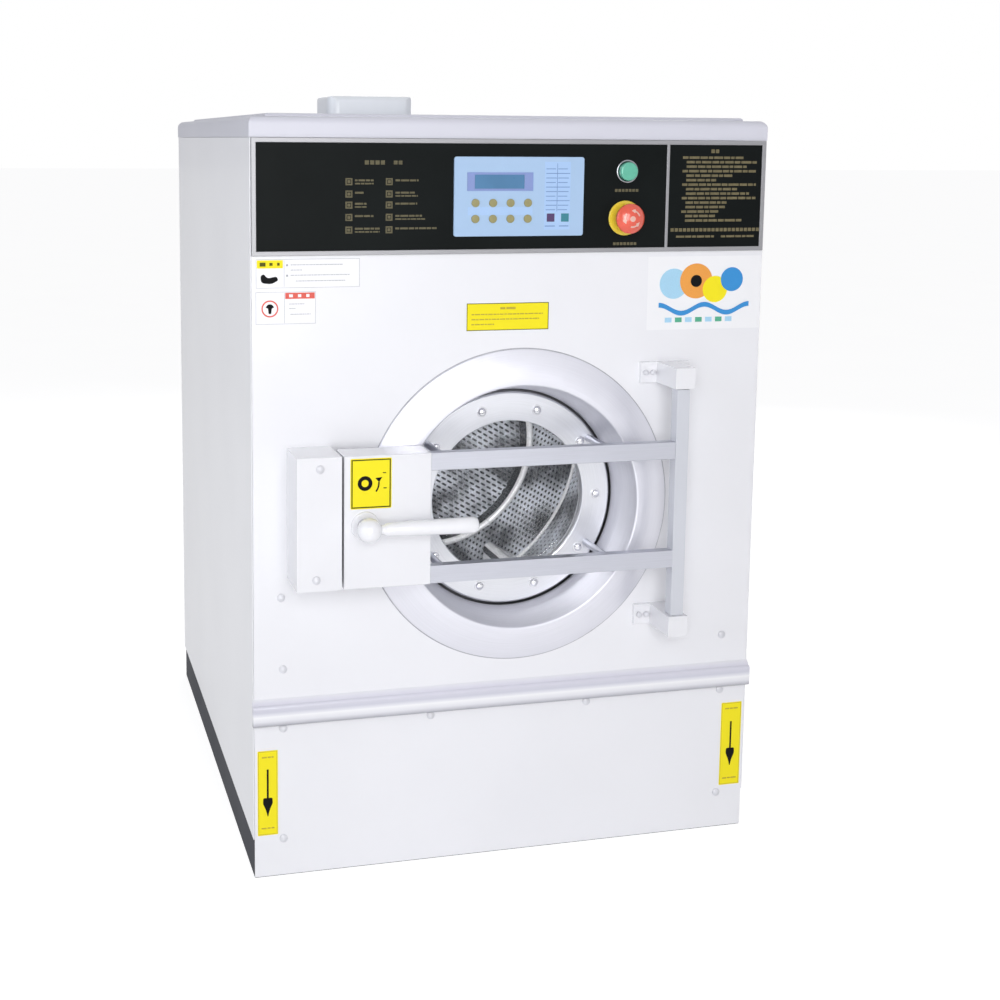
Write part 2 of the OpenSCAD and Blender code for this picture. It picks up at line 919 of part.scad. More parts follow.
// The pressed ring around the door, from its flat edge over the rise to the end of its funnel
module door_surround() {
  funnel_r = door_r + 4;
  back_y = disc_back - 4;
  color([0.86, 0.86, 0.9])
    turned(drum_x, drum_z)
      polygon([
        [surround_r, 0], [surround_r, -surround_t],
        [surround_r - 22, -surround_rise * 0.62], [surround_in_r + 6, -surround_rise],
        [surround_in_r + 1, -surround_rise], [surround_in_r - 1, -surround_rise + 2],
        [funnel_r, back_y], [funnel_r + surround_t, back_y],
        [surround_in_r + surround_t - 1, -surround_rise + surround_t + 3],
        [surround_in_r + 7, -surround_rise + surround_t],
        [surround_r - 24, -surround_rise * 0.62 + surround_t],
        [surround_r - 10, 0]]);
}

module door_gasket() {
  color([0.16, 0.16, 0.17])
    turned(drum_x, drum_z) {
      translate([gasket_in_r, disc_back + seat])
        square([gasket_out_r - gasket_in_r, tub_y0 - disc_back - seat]);
      translate([gasket_in_r - 4, tub_y0 - 3])
        square([gasket_out_r - gasket_in_r + 12, 3]);
    }
}

module bracket(z) {
  color(white)
    difference() {
      union() {
        block([bracket_x0, -bracket_plate_t, z], [hinge_x + bracket_w / 2 + 24, 0, z + bracket_h]);
        block([hinge_x - bracket_w / 2, -hinge_out - bracket_w / 2, z],
              [hinge_x + bracket_w / 2, cut - bracket_plate_t, z + bracket_h]);
      }
      for (x = bracket_screws)
        rod(x, z + bracket_h / 2, -bracket_plate_t - cut, cut, screw_r + fit);
      translate([hinge_x, front_y - hinge_out, z == bracket_lo ? z + bracket_h - hinge_pin_len - 1 : z - cut])
        cylinder(h = hinge_pin_len + 1 + cut, r = hinge_pin_d / 2 + run_gap);
    }
}

module upper_bracket() {
  bracket(bracket_hi);
}

module lower_bracket() {
  bracket(bracket_lo);
}

module hinge_post() {
  color(white) {
    translate([hinge_x, front_y - hinge_out, hinge_post_z + hinge_post_h / 2])
      cube([hinge_post_w, hinge_post_w, hinge_post_h], center = true);
    translate([hinge_x, front_y - hinge_out, hinge_post_z - hinge_pin_len])
      cylinder(h = hinge_post_h + 2 * hinge_pin_len, d = hinge_pin_d);
  }
}

// An arm of the door carrier with its two studs to the door disc
module arm(z) {
  color(steel) {
    block([arm_x0, arm_y0, z - arm_h / 2], [arm_x1, arm_y1, z + arm_h / 2]);
    for (side = [-1, 1])
      rod(drum_x + side * stud_dx, z, arm_y1 - cut, door_set, stud_d / 2);
  }
}

module upper_arm() {
  arm(arm_hi_z);
}

module lower_arm() {
  arm(arm_lo_z);
}

module latch_box() {
  guide_x = latch_bolt_x1 - 14;
  color(white)
    difference() {
      union() {
        difference() {
          block([latch_x, -latch_out, latch_z0], [arm_x0, latch_y1, latch_z1]);
          block([latch_x + latch_t, -latch_out + latch_t, latch_z0 + latch_t],
                [arm_x0 - latch_t, latch_y1 - latch_t, latch_z1 - latch_t]);
        }
        rod(lever_x, lever_z, -latch_out - 6, -latch_out + 16, 22);
        block([guide_x, -latch_out + latch_t - cut, latch_bolt_z0 - 6],
              [guide_x + 5, latch_bolt_y1 + 6, latch_bolt_z1 + 4]);
      }
      rod(lever_x, lever_z, -latch_out - 6 - cut, -latch_out + 16 + cut, spindle_d / 2 + run_gap);
      block([latch_x - cut, latch_bolt_y0 - seat, latch_bolt_z0 - seat],
            [latch_bolt_x1 + cut, latch_bolt_y1 + seat, latch_bolt_z1 + seat]);
    }
}

module latch_lever() {
  color([0.9, 0.9, 0.93]) {
    rod(lever_x, lever_z, lever_y, latch_y1 - latch_t - 2, spindle_d / 2);
    rod(lever_x, lever_z, lever_y, -latch_out - 6 - seat, 13);
    rod(lever_x, lever_z, latch_bolt_y0 - 2, latch_bolt_y1, pinion_r - fit);
    translate([lever_x, front_y + lever_y, lever_z]) {
      sphere(d = ball_d);
      rotate([0, 90, 0])
        rotate_extrude()
          polygon([[0, 0], [7, 0], [7, ball_d / 2 + 2], [lever_d / 2 - 3, ball_d / 2 + 8],
                   [lever_d / 2 - 1.5, ball_d / 2 + 40], [lever_d / 2, lever_len - 8],
                   [lever_d / 2 - 2, lever_len - 2], [lever_d / 2 - 6, lever_len], [0, lever_len]]);
    }
  }
}

module latch_bolt() {
  color(steel)
    block([latch_bolt_x0, latch_bolt_y0, latch_bolt_z0], [latch_bolt_x1, latch_bolt_y1, latch_bolt_z1]);
}

module latch_keeper() {
  color(white)
    difference() {
      block([keeper_x0, -latch_out, latch_z0], [keeper_x1, 0, latch_z1]);
      block([keeper_x0 + latch_t, -latch_out + latch_t, latch_z0 + latch_t],
            [keeper_x1 - latch_t, cut, latch_z1 - latch_t]);
      block([keeper_x1 - latch_t - cut, latch_bolt_y0 - 4, latch_bolt_z0 - 4],
            [keeper_x1 + cut, latch_bolt_y1 + 4, latch_bolt_z1 + 4]);
      for (p = keeper_screws)
        rod(p[0], p[1], -latch_out - cut, -latch_out + latch_t + cut, screw_r + fit);
    }
}

module door_disc() {
  color(steel)
    difference() {
      turned(drum_x, drum_z)
        polygon([[glass_r, disc_back], [glass_r, door_set + 2], [glass_r + 1, door_set],
                 [door_r - 3, door_set], [door_r, door_set + 3], [door_r, disc_back]]);
      for (i = [0 : bolt_n - 1])
        rod(drum_x + bolt_ring_r * cos(i * 360 / bolt_n), drum_z + bolt_ring_r * sin(i * 360 / bolt_n),
            door_set - cut, disc_back + cut, 4 + fit);
    }
}

// A dish of elliptical section with a flat flange
module door_glass() {
  steps = 12;
  back_d = bowl_d + glass_t;
  lip = asin(glass_t / back_d);
  color([0.8, 0.88, 0.9, 0.35])
    turned(drum_x, drum_z)
      polygon(concat(
        [[glass_out_r, glass_y + glass_t], [glass_out_r, glass_y]],
        [for (i = [0 : steps]) [(glass_r - 4) * cos(i * 90 / steps), glass_y + bowl_d * sin(i * 90 / steps)]],
        [for (i = [0 : steps])
          let(a = 90 - i * (90 - lip) / steps) [glass_r * cos(a), glass_y + back_d * sin(a)]]
      ));
}

module glass_seal() {
  color([0.12, 0.12, 0.12])
    turned(drum_x, drum_z)
      difference() {
        area(glass_r + 1.5, disc_back, seal_out_r, clamp_lip_y);
        area(glass_r, glass_y, glass_out_r, glass_y + glass_t);
      }
}

module glass_clamp() {
  color(steel)
    difference() {
      turned(drum_x, drum_z)
        polygon([[glass_r + 3, clamp_lip_y], [seal_out_r, clamp_lip_y], [seal_out_r, disc_back],
                 [clamp_out_r, disc_back], [clamp_out_r, clamp_y], [glass_r + 3, clamp_y]]);
      for (i = [0 : bolt_n - 1])
        rod(drum_x + bolt_ring_r * cos(i * 360 / bolt_n), drum_z + bolt_ring_r * sin(i * 360 / bolt_n),
            disc_back - cut, clamp_y + cut, 4 + fit);
    }
}

module door_bolts() {
  color(steel)
    for (i = [0 : bolt_n - 1])
      turned(drum_x + bolt_ring_r * cos(i * 360 / bolt_n), drum_z + bolt_ring_r * sin(i * 360 / bolt_n))
        translate([0, door_set]) {
          intersection() {
            translate([0, 3])
              circle(r = 8.5);
            translate([0, -bolt_head_d / 2])
              square([bolt_head_d / 2, bolt_head_d / 2]);
          }
          square([4, clamp_y - door_set - 1]);
        }
}

// Tub shell with its back plate and drain neck
module outer_tub() {
  color(steel)
    difference() {
      union() {
        turned(drum_x, drum_z)
          polygon([[tub_r - tub_t, tub_y0 + tub_t], [tub_r, tub_y0 + tub_t], [tub_r, tub_y2],
                   [shaft_d / 2 + 10, tub_y2], [shaft_d / 2 + 10, tub_y1], [tub_r - tub_t, tub_y1]]);
        translate([drum_x, front_y + drain_y, drum_z - tub_r - 20])
          difference() {
            cylinder(h = 40, r = drain_r);
            translate([0, tub_y0 + tub_y1 - drain_y, tub_r + 20])
              rotate([90, 0, 0])
                cylinder(h = 2 * tub_y1, r = tub_r - tub_t);
          }
      }
      translate([drum_x, front_y + drain_y, drum_z - tub_r - 20 - cut])
        cylinder(h = 60, r = drain_r - drain_t);
      translate([hopper_x, front_y + hopper_y + hopper_len / 2, drum_z])
        cylinder(h = tub_r + cut, r = feed_r - 3);
    }
}

module tub_front() {
  color(steel)
    turned(drum_x, drum_z) {
      area(mouth_r, tub_y0, tub_r, tub_y0 + tub_t);
      area(mouth_r, tub_y0, mouth_r + tub_t, tub_y0 + tub_t + 8);
    }
}

// The housing stands on the floor frame, carries the tub's back and holds both bearings
module bearing_housing() {
  color(dark)
    difference() {
      union() {
        rod(drum_x, drum_z, tub_y2, housing_y1, hub_r);
        plate(tub_y2, housing_t)
          difference() {
            union() {
              translate([drum_x, drum_z])
                circle(pulley_r - 10);
              polygon([[drum_x - housing_foot_w / 2, base_h], [drum_x + housing_foot_w / 2, base_h],
                       [drum_x + hub_r + 20, drum_z], [drum_x - hub_r - 20, drum_z]]);
            }
            pipe_arch();
          }
        for (a = [45 : 90 : 315])
          translate([drum_x, front_y + tub_y2 + housing_t - cut, drum_z])
            rotate([0, a, 0])
              translate([0, 0, -4])
                linear_extrude(8)
                  polygon([
                    [hub_r - 10, 0], [pulley_r - 24, 0], [pulley_r - 24, 12], [hub_r - 10, hub_len - 70]]);
      }
      rod(drum_x, drum_z, tub_y2 - cut, housing_y1 + cut, shaft_d / 2 + 6);
      rod(drum_x, drum_z, tub_y2 + 16, housing_y1 + cut, bearing_r + press_gap);
    }
}

module shaft_bearings() {
  color(steel)
    for (y = [tub_y2 + 18, housing_y1 - bearing_w - 6])
      ring(drum_x, drum_z, y, y + bearing_w, bearing_r, shaft_d / 2 + run_gap);
}

module belt_outline(grow) {
  hull() {
    translate([drum_x, drum_z])
      circle(pulley_r + grow);
    translate([motor_x, motor_z])
      circle(motor_pulley_r + grow);
  }
}

module drive_belt() {
  color([0.1, 0.1, 0.1])
    plate(pulley_y0 + 2.5, pulley_w - 5)
      difference() {
        belt_outline(seat + belt_t);
        belt_outline(seat);
      }
}

module motor() {
  color([0.25, 0.3, 0.38])
    difference() {
      union() {
        rod(motor_x, motor_z, motor_y0, motor_y1, motor_r);
        block([motor_x - 75, motor_y0 + 12, base_h], [motor_x + 75, motor_y1 - 12, base_h + 12]);
        block([motor_x - 45, motor_y0 + 20, base_h + 6], [motor_x + 45, motor_y1 - 20, motor_z]);
        block([motor_x + motor_r - 20, motor_y0 + 60, motor_z - 35],
              [motor_x + motor_r + 25, motor_y1 - 60, motor_z + 35]);
      }
      rod(motor_x, motor_z, motor_y0 - cut, motor_y1 + cut, motor_shaft_d / 2 + run_gap);
    }
}

module motor_rotor() {
  color(steel) {
    rod(motor_x, motor_z, motor_y0 + 5, pulley_y1 + 4, motor_shaft_d / 2);
    turned(motor_x, motor_z)
      polygon([[0, pulley_y0], [motor_pulley_r, pulley_y0], [motor_pulley_r, pulley_y1], [0, pulley_y1]]);
  }
}

module drain_valve() {
  neck_z = drum_z - tub_r - 20;
  color([0.35, 0.36, 0.38])
    difference() {
      union() {
        translate([drum_x, front_y + drain_y, drain_pipe_z - drain_r - 8])
          cylinder(h = neck_z - drain_pipe_z + drain_r + 8, r = drain_r + 12);
        rod(drum_x, drain_pipe_z, drain_y, cab_d + drain_out, drain_r);
        rod(drum_x, drain_pipe_z, cab_d, cab_d + nut_flange_t, drain_r + 8);
        block([drum_x - 40, drain_y - 95, drain_pipe_z - 30], [drum_x + 40, drain_y - 20, drain_pipe_z + 35]);
      }
      translate([drum_x, front_y + drain_y, drain_pipe_z])
        cylinder(h = neck_z, r = drain_r - drain_t);
      rod(drum_x, drain_pipe_z, drain_y, cab_d + drain_out + cut, drain_r - drain_t);
    }
}

// Two valves with their threaded inlets and the pipe that feeds the tub
module inlet_valves() {
  tube_r = 11;
  turn_y = tub_y1 - 90;
  side = inlet_x - drum_x;
  color([0.86, 0.86, 0.84])
    difference() {
      union() {
        for (i = [-1, 1]) {
          rod(inlet_x + i * inlet_dx / 2, inlet_z, back_in - 20, cab_d + inlet_len, inlet_r);
          rod(inlet_x + i * inlet_dx / 2, inlet_z, cab_d, cab_d + nut_flange_t, inlet_r + 7);
          block([inlet_x + i * inlet_dx / 2 - 22, back_in - 62, inlet_z - 22],
                [inlet_x + i * inlet_dx / 2 + 22, back_in, inlet_z + 40]);
        }
        block([inlet_x - inlet_dx / 2 - 22, back_in - 80, inlet_z - 14],
              [inlet_x + inlet_dx / 2 + 22, back_in - 58, inlet_z + 14]);
        rod(inlet_x, inlet_z, turn_y - tube_r, back_in - 70, tube_r);
        difference() {
          translate([inlet_x, front_y + turn_y, drum_z])
            cylinder(h = inlet_z + tube_r - drum_z, r = tube_r);
          rod(drum_x, drum_z, tub_y0, tub_y2, tub_r + seat);
        }
      }
      for (i = [-1, 1])
        rod(inlet_x + i * inlet_dx / 2, inlet_z, back_in - 40, cab_d + inlet_len + cut, inlet_r - 4);
    }
}

// Hopper box, its rim on the top cover, the ears of the lid and the feed tube down to the tub
module soap_hopper() {
  mid_y = hopper_y + hopper_len / 2;
  color([0.88, 0.92, 0.97])
    difference() {
      union() {
        hopper_form(0, hopper_z0, hopper_z1);
        hopper_form(rim_w, field_z, field_z + rim_t);
        for (side = [-1, 1])
          translate([hopper_x + side * (lid_barrel_w / 2 + seat + lid_ear_t / 2), front_y, 0]) {
            translate([-lid_ear_t / 2, hopper_y1 - 1, field_z])
              cube([lid_ear_t, lid_pin_y + 5 - hopper_y1 + 1, rim_t]);
            translate([-lid_ear_t / 2, lid_pin_y - 5, field_z])
              cube([lid_ear_t, 10, lid_pin_z - field_z]);
            translate([-lid_ear_t / 2, lid_pin_y, lid_pin_z])
              rotate([0, 90, 0])
                cylinder(h = lid_ear_t, r = lid_barrel_r);
          }
        translate([hopper_x, front_y + mid_y, drum_z])
          cylinder(h = hopper_z0 - drum_z + cut, r = feed_r);
      }
      hopper_form(-sheet_t, hopper_z0 + sheet_t, hopper_z1 + cut);
      translate([hopper_x, front_y + mid_y, drum_z - cut])
        cylinder(h = hopper_z0 - drum_z + 3 * cut + sheet_t, r = feed_r - 3);
      rod(drum_x, drum_z, tub_y0, tub_y2, tub_r + seat);
      translate([hopper_x - lid_barrel_w / 2 - 20, front_y + lid_pin_y, lid_pin_z])
        rotate([0, 90, 0])
          cylinder(h = lid_barrel_w + 40, r = lid_pin_r + run_gap);
    }
}

// The lid's form, larger by grow all round, from z0 up to its rounded top
module lid_form(grow, z0) {
  w = hopper_w + 2 * grow;
  len = hopper_len + 2 * grow;
  h = lid_z0 + lid_h - lid_side + grow - z0;
  edge = lid_edge_r - lid_side + grow;
  intersection() {
    hopper_form(grow, z0, z0 + h);
    plate(hopper_y - grow, len)
      translate([hopper_x, z0])
        arch(w, h, edge);
    rotate([90, 0, 90])
      translate([front_y + hopper_y + hopper_len / 2, z0, hopper_x - w / 2])
        linear_extrude(w)
          arch(len, h, edge);
  }
}

// Lid with its hinge barrel and pin ends
module soap_lid() {
  color([0.88, 0.92, 0.97]) {
    difference() {
      lid_form(lid_side, lid_z0);
      lid_form(lid_side - lid_t, lid_z0 - cut);
    }
    block([hopper_x - lid_barrel_w / 2, hopper_y1 + lid_side - 1, lid_pin_z],
          [hopper_x + lid_barrel_w / 2, lid_pin_y, lid_pin_z + lid_barrel_r]);
    translate([hopper_x - lid_barrel_w / 2, front_y + lid_pin_y, lid_pin_z])
      rotate([0, 90, 0])
        cylinder(h = lid_barrel_w, r = lid_barrel_r);
    translate([hopper_x - lid_barrel_w / 2 - seat - lid_ear_t, front_y + lid_pin_y, lid_pin_z])
      rotate([0, 90, 0])
        cylinder(h = lid_barrel_w + 2 * (seat + lid_ear_t), r = lid_pin_r);
  }
}

// Control case on the rear panel with its cooling fins
module inverter_box() {
  fin_t = 3;
  fin_h = 18;
  margin = 15;
  color([0.75, 0.76, 0.78]) {
    difference() {
      block([inverter_x, back_in - inverter_d, inverter_z],
            [inverter_x + inverter_w, back_in, inverter_z + inverter_h]);
      block([inverter_x + sheet_t, back_in - inverter_d + sheet_t, inverter_z + sheet_t],
            [inverter_x + inverter_w - sheet_t, back_in + cut, inverter_z + inverter_h - sheet_t]);
    }
    for (x = [inverter_x + margin : fin_dx : inverter_x + inverter_w - margin])
      block([x, back_in - inverter_d - fin_h, inverter_z + margin],
            [x + fin_t, back_in - inverter_d + cut, inverter_z + inverter_h - margin]);
  }
}

module cable_gland() {
  nut_t = 8;
  color([0.15, 0.15, 0.16])
    difference() {
      union() {
        rod(gland_x, gland_z, back_in - 2 * nut_t, cab_d + gland_len, gland_r);
        rod(gland_x, gland_z, cab_d, cab_d + nut_t, gland_r + 6, $fn = 6);
        rod(gland_x, gland_z, back_in - nut_t, back_in, gland_r + 6, $fn = 6);
        rod(gland_x, gland_z, cab_d + nut_t + 6, cab_d + gland_len, gland_r + 3);
      }
      rod(gland_x, gland_z, back_in - 2 * nut_t - cut, cab_d + gland_len + cut, gland_bore_r);
    }
}

// Drum wall with its front ring and the rolled lip of its mouth
module drum_shell() {
  color(steel)
    turned(drum_x, drum_z) {
      area(drum_r - drum_t, drum_y0, drum_r, drum_y1);
      area(drum_mouth_r, drum_y0, drum_r, drum_y0 + drum_t);
      translate([drum_mouth_r, drum_y0 + 4])
        circle(4);
    }
}

// Back disc with the three spider arms and the hub
module drum_back() {
  color(steel) {
    rod(drum_x, drum_z, drum_y1, drum_y1 + drum_plate_t, drum_r);
    rod(drum_x, drum_z, drum_y1 + drum_plate_t - cut, drum_y2, 70);
    for (i = [0 : 2])
      translate([drum_x, front_y + drum_y1 + drum_plate_t - cut, drum_z])
        rotate([0, 30 + i * 120, 0])
          translate([0, 0, -26])
            cube([drum_r - 14, spider_t + cut, 52]);
  }
}

// Ribs that lift the laundry
module drum_lifters() {
  color(steel)
    difference() {
      plate(drum_y0 + 14, drum_len - 24)
        lifter_outlines(0);
      plate(drum_y0 + 14 + drum_t, drum_len - 24 - 2 * drum_t)
        lifter_outlines(drum_t);
    }
}

// Sections of the lifter ribs, shrunk by the thickness of their wall
module lifter_outlines(wall) {
  ridge = drum_r - drum_t - lifter_h;
  foot = lifter_w / 2 - wall;
  intersection() {
    translate([drum_x, drum_z])
      circle(drum_r - drum_t - seat + wall);
    translate([drum_x, drum_z])
      for (i = [0 : lifter_n - 1])
        rotate(lifter_a + i * 360 / lifter_n) {
          polygon([[drum_r + wall, -foot], [drum_r + wall, foot], [drum_r - 12, foot - 2],
                   [ridge + 12, 13 - wall], [ridge + 12, wall - 13], [drum_r - 12, 2 - foot]]);
          translate([ridge + 13, 0])
            circle(13 - wall);
        }
  }
}

module main_shaft() {
  color(steel)
    rod(drum_x, drum_z, drum_y2, shaft_y1, shaft_d / 2);
}

module drum_pulley() {
  tread_t = 9;
  web_t = 12;
  window_r = 38;
  mid_y = (pulley_y0 + pulley_y1) / 2;
  color([0.4, 0.41, 0.43])
    difference() {
      turned(drum_x, drum_z) {
        area(shaft_d / 2 + run_gap, pulley_y0, shaft_d / 2 + 24, pulley_y1);
        area(shaft_d / 2 + 20, mid_y - web_t / 2, pulley_r - 2, mid_y + web_t / 2);
        area(pulley_r - tread_t, pulley_y0, pulley_r, pulley_y1);
      }
      for (a = [0 : 60 : 300])
        rod(drum_x + pulley_r * 0.6 * cos(a), drum_z + pulley_r * 0.6 * sin(a),
            pulley_y0 - cut, pulley_y1 + cut, window_r);
    }
}

base_frame();
corner_posts();
left_panel();
right_panel();
rear_panel();
top_cover();
front_panel();
service_panel();
front_rail();
cabinet_screws();
fascia_frame();
control_fascia();
keypad_module();
lcd_window();
estop_collar();
door_surround();
door_gasket();
latch_keeper();
upper_bracket();
lower_bracket();
outer_tub();
tub_front();
bearing_housing();
shaft_bearings();
drive_belt();
motor();
drain_valve();
inlet_valves();
soap_hopper();
inverter_box();
cable_gland();
drum_shell();
drum_back();
drum_lifters();
main_shaft();
drum_pulley();
motor_rotor();
door_disc();
door_glass();
glass_seal();
glass_clamp();
door_bolts();
upper_arm();
lower_arm();
hinge_post();
latch_box();
latch_lever();
latch_bolt();
start_button();
estop_stem();
estop_head();
soap_lid();
key(0);  // key_1
key(1);  // key_2
key(2);  // key_3
key(3);  // key_4
key(4);  // key_5
key(5);  // key_6
key(6);  // key_7
key(7);  // key_8
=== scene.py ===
"""Looks of the washer-extractor: its finishes, its fine pieces, a pale studio and the camera.

Piece coordinates are millimetres in the front frame: x to the right of the cabinet's middle, y behind the
front panel and z above the floor. They become the row frame's metres when a mesh is made.
"""

import logging
import math
from contextlib import contextmanager
from dataclasses import dataclass
from enum import Enum
from typing import Any, Dict, Iterable, Iterator, List, Optional, Sequence, Tuple, Union

import bmesh
import bpy
import numpy as np
from mathutils import Matrix, Vector


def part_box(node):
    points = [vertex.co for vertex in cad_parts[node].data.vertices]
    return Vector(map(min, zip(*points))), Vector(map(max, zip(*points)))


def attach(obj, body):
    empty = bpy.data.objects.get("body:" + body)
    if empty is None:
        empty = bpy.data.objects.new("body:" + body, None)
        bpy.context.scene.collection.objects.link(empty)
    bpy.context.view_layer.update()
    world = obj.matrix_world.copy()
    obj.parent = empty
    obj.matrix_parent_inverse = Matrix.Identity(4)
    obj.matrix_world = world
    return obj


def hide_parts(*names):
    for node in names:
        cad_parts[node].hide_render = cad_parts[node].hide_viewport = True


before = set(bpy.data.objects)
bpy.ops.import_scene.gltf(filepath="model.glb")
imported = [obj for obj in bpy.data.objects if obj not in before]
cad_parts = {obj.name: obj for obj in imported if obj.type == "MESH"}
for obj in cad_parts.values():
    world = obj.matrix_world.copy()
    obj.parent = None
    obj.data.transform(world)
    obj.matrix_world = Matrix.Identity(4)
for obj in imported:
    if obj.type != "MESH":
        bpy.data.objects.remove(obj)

log = logging.getLogger("washer")

Colour = Place = Tuple[float, float, float]
Pair = Tuple[float, float]
Box = Tuple[float, float, float, float]
Point = Sequence[float]
Settings = Optional[Dict[str, Any]]
Inputs = Optional[Dict[Union[str, int], Any]]

# Millimetres in a metre, the distance in metres under which points merge, the angle under which faces count
# as one flat face and the angle over which an edge stays sharp.
MM = 1000.0
MERGE = 1e-6
FLAT = math.radians(0.5)
CREASE = math.radians(35.0)
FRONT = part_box("front_panel")[0].y * MM
RAIL_LOW, RAIL_HIGH = (corner.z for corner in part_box("front_rail"))
DOOR_AXIS = (9.0, 595.0)
GOLDEN = 0.618034


# ---------------------------------------------------------------- shapes


@dataclass
class Shell:
    """Points and faces of a surface, as whole arrays.

    points holds one row per point. Each array in faces holds faces with one number of corners.
    """

    points: np.ndarray
    faces: List[np.ndarray]

    def __add__(self, other: "Shell") -> "Shell":
        """Both surfaces in one shell."""
        moved = [block + len(self.points) for block in other.faces]
        return Shell(np.vstack([self.points, other.points]), self.faces + moved)


def joined(shells: Iterable[Shell]) -> Shell:
    """All the surfaces in one shell."""
    total, *others = shells
    for other in others:
        total = total + other
    return total


def placed(x: Any, y: Any, z: Any) -> np.ndarray:
    """Points from arrays or numbers of their coordinates, all drawn out to one shape."""
    return np.stack(np.broadcast_arrays(x, y, z), axis=-1)


def around(centre: Pair, radius: Any, angle: Any) -> Tuple[Any, Any]:
    """x and z at a radius and an angle in radians: centre + radius * (cos angle, sin angle)."""
    return centre[0] + radius * np.cos(angle), centre[1] + radius * np.sin(angle)


def grid(points: np.ndarray, wrap_rows: bool = False, wrap_columns: bool = False) -> Shell:
    """Surface of four-cornered faces over a grid of points.

    Args:
        points: Grid of rows by columns by three coordinates.
        wrap_rows: Joins the last row to the first.
        wrap_columns: Joins the last column to the first.

    Returns:
        The surface.
    """
    rows, columns = points.shape[:2]
    index = np.arange(rows * columns).reshape(rows, columns)
    if wrap_rows:
        index = np.vstack([index, index[:1]])
    if wrap_columns:
        index = np.hstack([index, index[:, :1]])
    quads = np.stack([index[:-1, :-1], index[1:, :-1], index[1:, 1:], index[:-1, 1:]], axis=-1)
    return Shell(points.reshape(-1, 3), [quads.reshape(-1, 4)])


def even_turns(count: int, first: float = 0.0) -> List[float]:
    """Even turns in radians, from a first one in degrees."""
    return [math.radians(first + i * 360 / count) for i in range(count)]


def revolve(profile: Sequence[Point], centre: Pair = DOOR_AXIS, depth: float = 0.0, steps: int = 96,
            closed: bool = False) -> Shell:
    """Profile turned about an axis that points backwards.

    Point = (x + radius * sin a, depth + distance, z + radius * cos a).

    Args:
        profile: Rows of radius and distance along the axis.
        centre: x and z of the axis.
        depth: Where the distance is zero.
        steps: Points around.
        closed: Joins the profile's last point to its first.

    Returns:
        The turned surface.
    """
    radius, distance = np.asarray(profile, float).T[..., None]
    z, x = around(centre[::-1], radius, np.linspace(0, 2 * np.pi, steps, endpoint=False))
    return grid(placed(x, depth + distance, z), wrap_rows=closed, wrap_columns=True)


def eased(corners: Sequence[Point], radius: float, closed: bool = False) -> np.ndarray:
    """Outline whose corners are parabolas: start * (1 - t)^2 + 2 * corner * t * (1 - t) + end * t^2.

    Args:
        corners: Rows of plane coordinates.
        radius: How far from each corner its curve starts and ends.
        closed: Whether the last corner joins the first.

    Returns:
        Rows of points along the outline.
    """
    corner = np.asarray(corners, float)
    back, ahead = np.roll(corner, 1, 0) - corner, np.roll(corner, -1, 0) - corner
    back_len = np.linalg.norm(back, axis=1, keepdims=True)
    ahead_len = np.linalg.norm(ahead, axis=1, keepdims=True)
    cut = np.minimum(radius, 0.45 * np.minimum(back_len, ahead_len))
    start, end = corner + back / back_len * cut, corner + ahead / ahead_len * cut
    t = np.linspace(0, 1, 5)[:, None, None]
    curve = (start * (1 - t) ** 2 + 2 * corner * t * (1 - t) + end * t ** 2).transpose(1, 0, 2)
    if closed:
        return curve.reshape(-1, corner.shape[1])
    return np.vstack([corner[:1], curve[1:-1].reshape(-1, corner.shape[1]), corner[-1:]])


def slab(outline: Sequence[Point], front: float, back: float) -> Shell:
    """Flat piece that faces the viewer: an outline of x and z, between two distances behind the panel."""
    x, z = np.asarray(outline, float).T
    shell = grid(np.stack([placed(x, y, z) for y in (front, back)]), wrap_columns=True)
    loop = np.arange(len(x))
    shell.faces.append(np.array([loop[::-1], loop + len(x)]))
    return shell


def repeated(faces: Sequence[Sequence[int]], count: int) -> np.ndarray:
    """Faces of many like pieces, whose points follow each other."""
    one = np.asarray(faces)
    return (one[None] + (np.arange(count) * (one.max() + 1))[:, None, None]).reshape(-1, 4)


def field_outline(box: Point, radius: float = 0.0) -> np.ndarray:
    """Outline of a rectangle, from its x0, z0, x1 and z1, with eased corners where a radius is given."""
    x0, z0, x1, z1 = box
    corners = [(x0, z0), (x1, z0), (x1, z1), (x0, z1)]
    return eased(corners, radius, closed=True) if radius else np.array(corners, float)


def tiles(boxes: Sequence[Point], front: float, back: float) -> Shell:
    """Many small flat boxes that face the viewer.

    Args:
        boxes: Rows of x0, z0, x1 and z1.
        front: Distance of the near face behind the front panel.
        back: Distance of the far face.

    Returns:
        One surface of them all.
    """
    row = np.asarray(boxes, float)
    x, z = row[:, [0, 2, 2, 0]], row[:, [1, 1, 3, 3]]
    points = np.stack([placed(x, y, z) for y in (front, back)], axis=1).reshape(-1, 3)
    one = [(3, 2, 1, 0), (4, 5, 6, 7), (0, 1, 5, 4), (1, 2, 6, 5), (2, 3, 7, 6), (3, 0, 4, 7)]
    return Shell(points, [repeated(one, len(row))])


def row_boxes(start: np.ndarray, end: np.ndarray, z: float, height: float) -> np.ndarray:
    """Boxes of one height on a printed row, as rows of x0, z0, x1 and z1."""
    low, high = (np.full(len(start), z + side * height / 2) for side in (-1, 1))
    return np.column_stack([start, low, end, high])


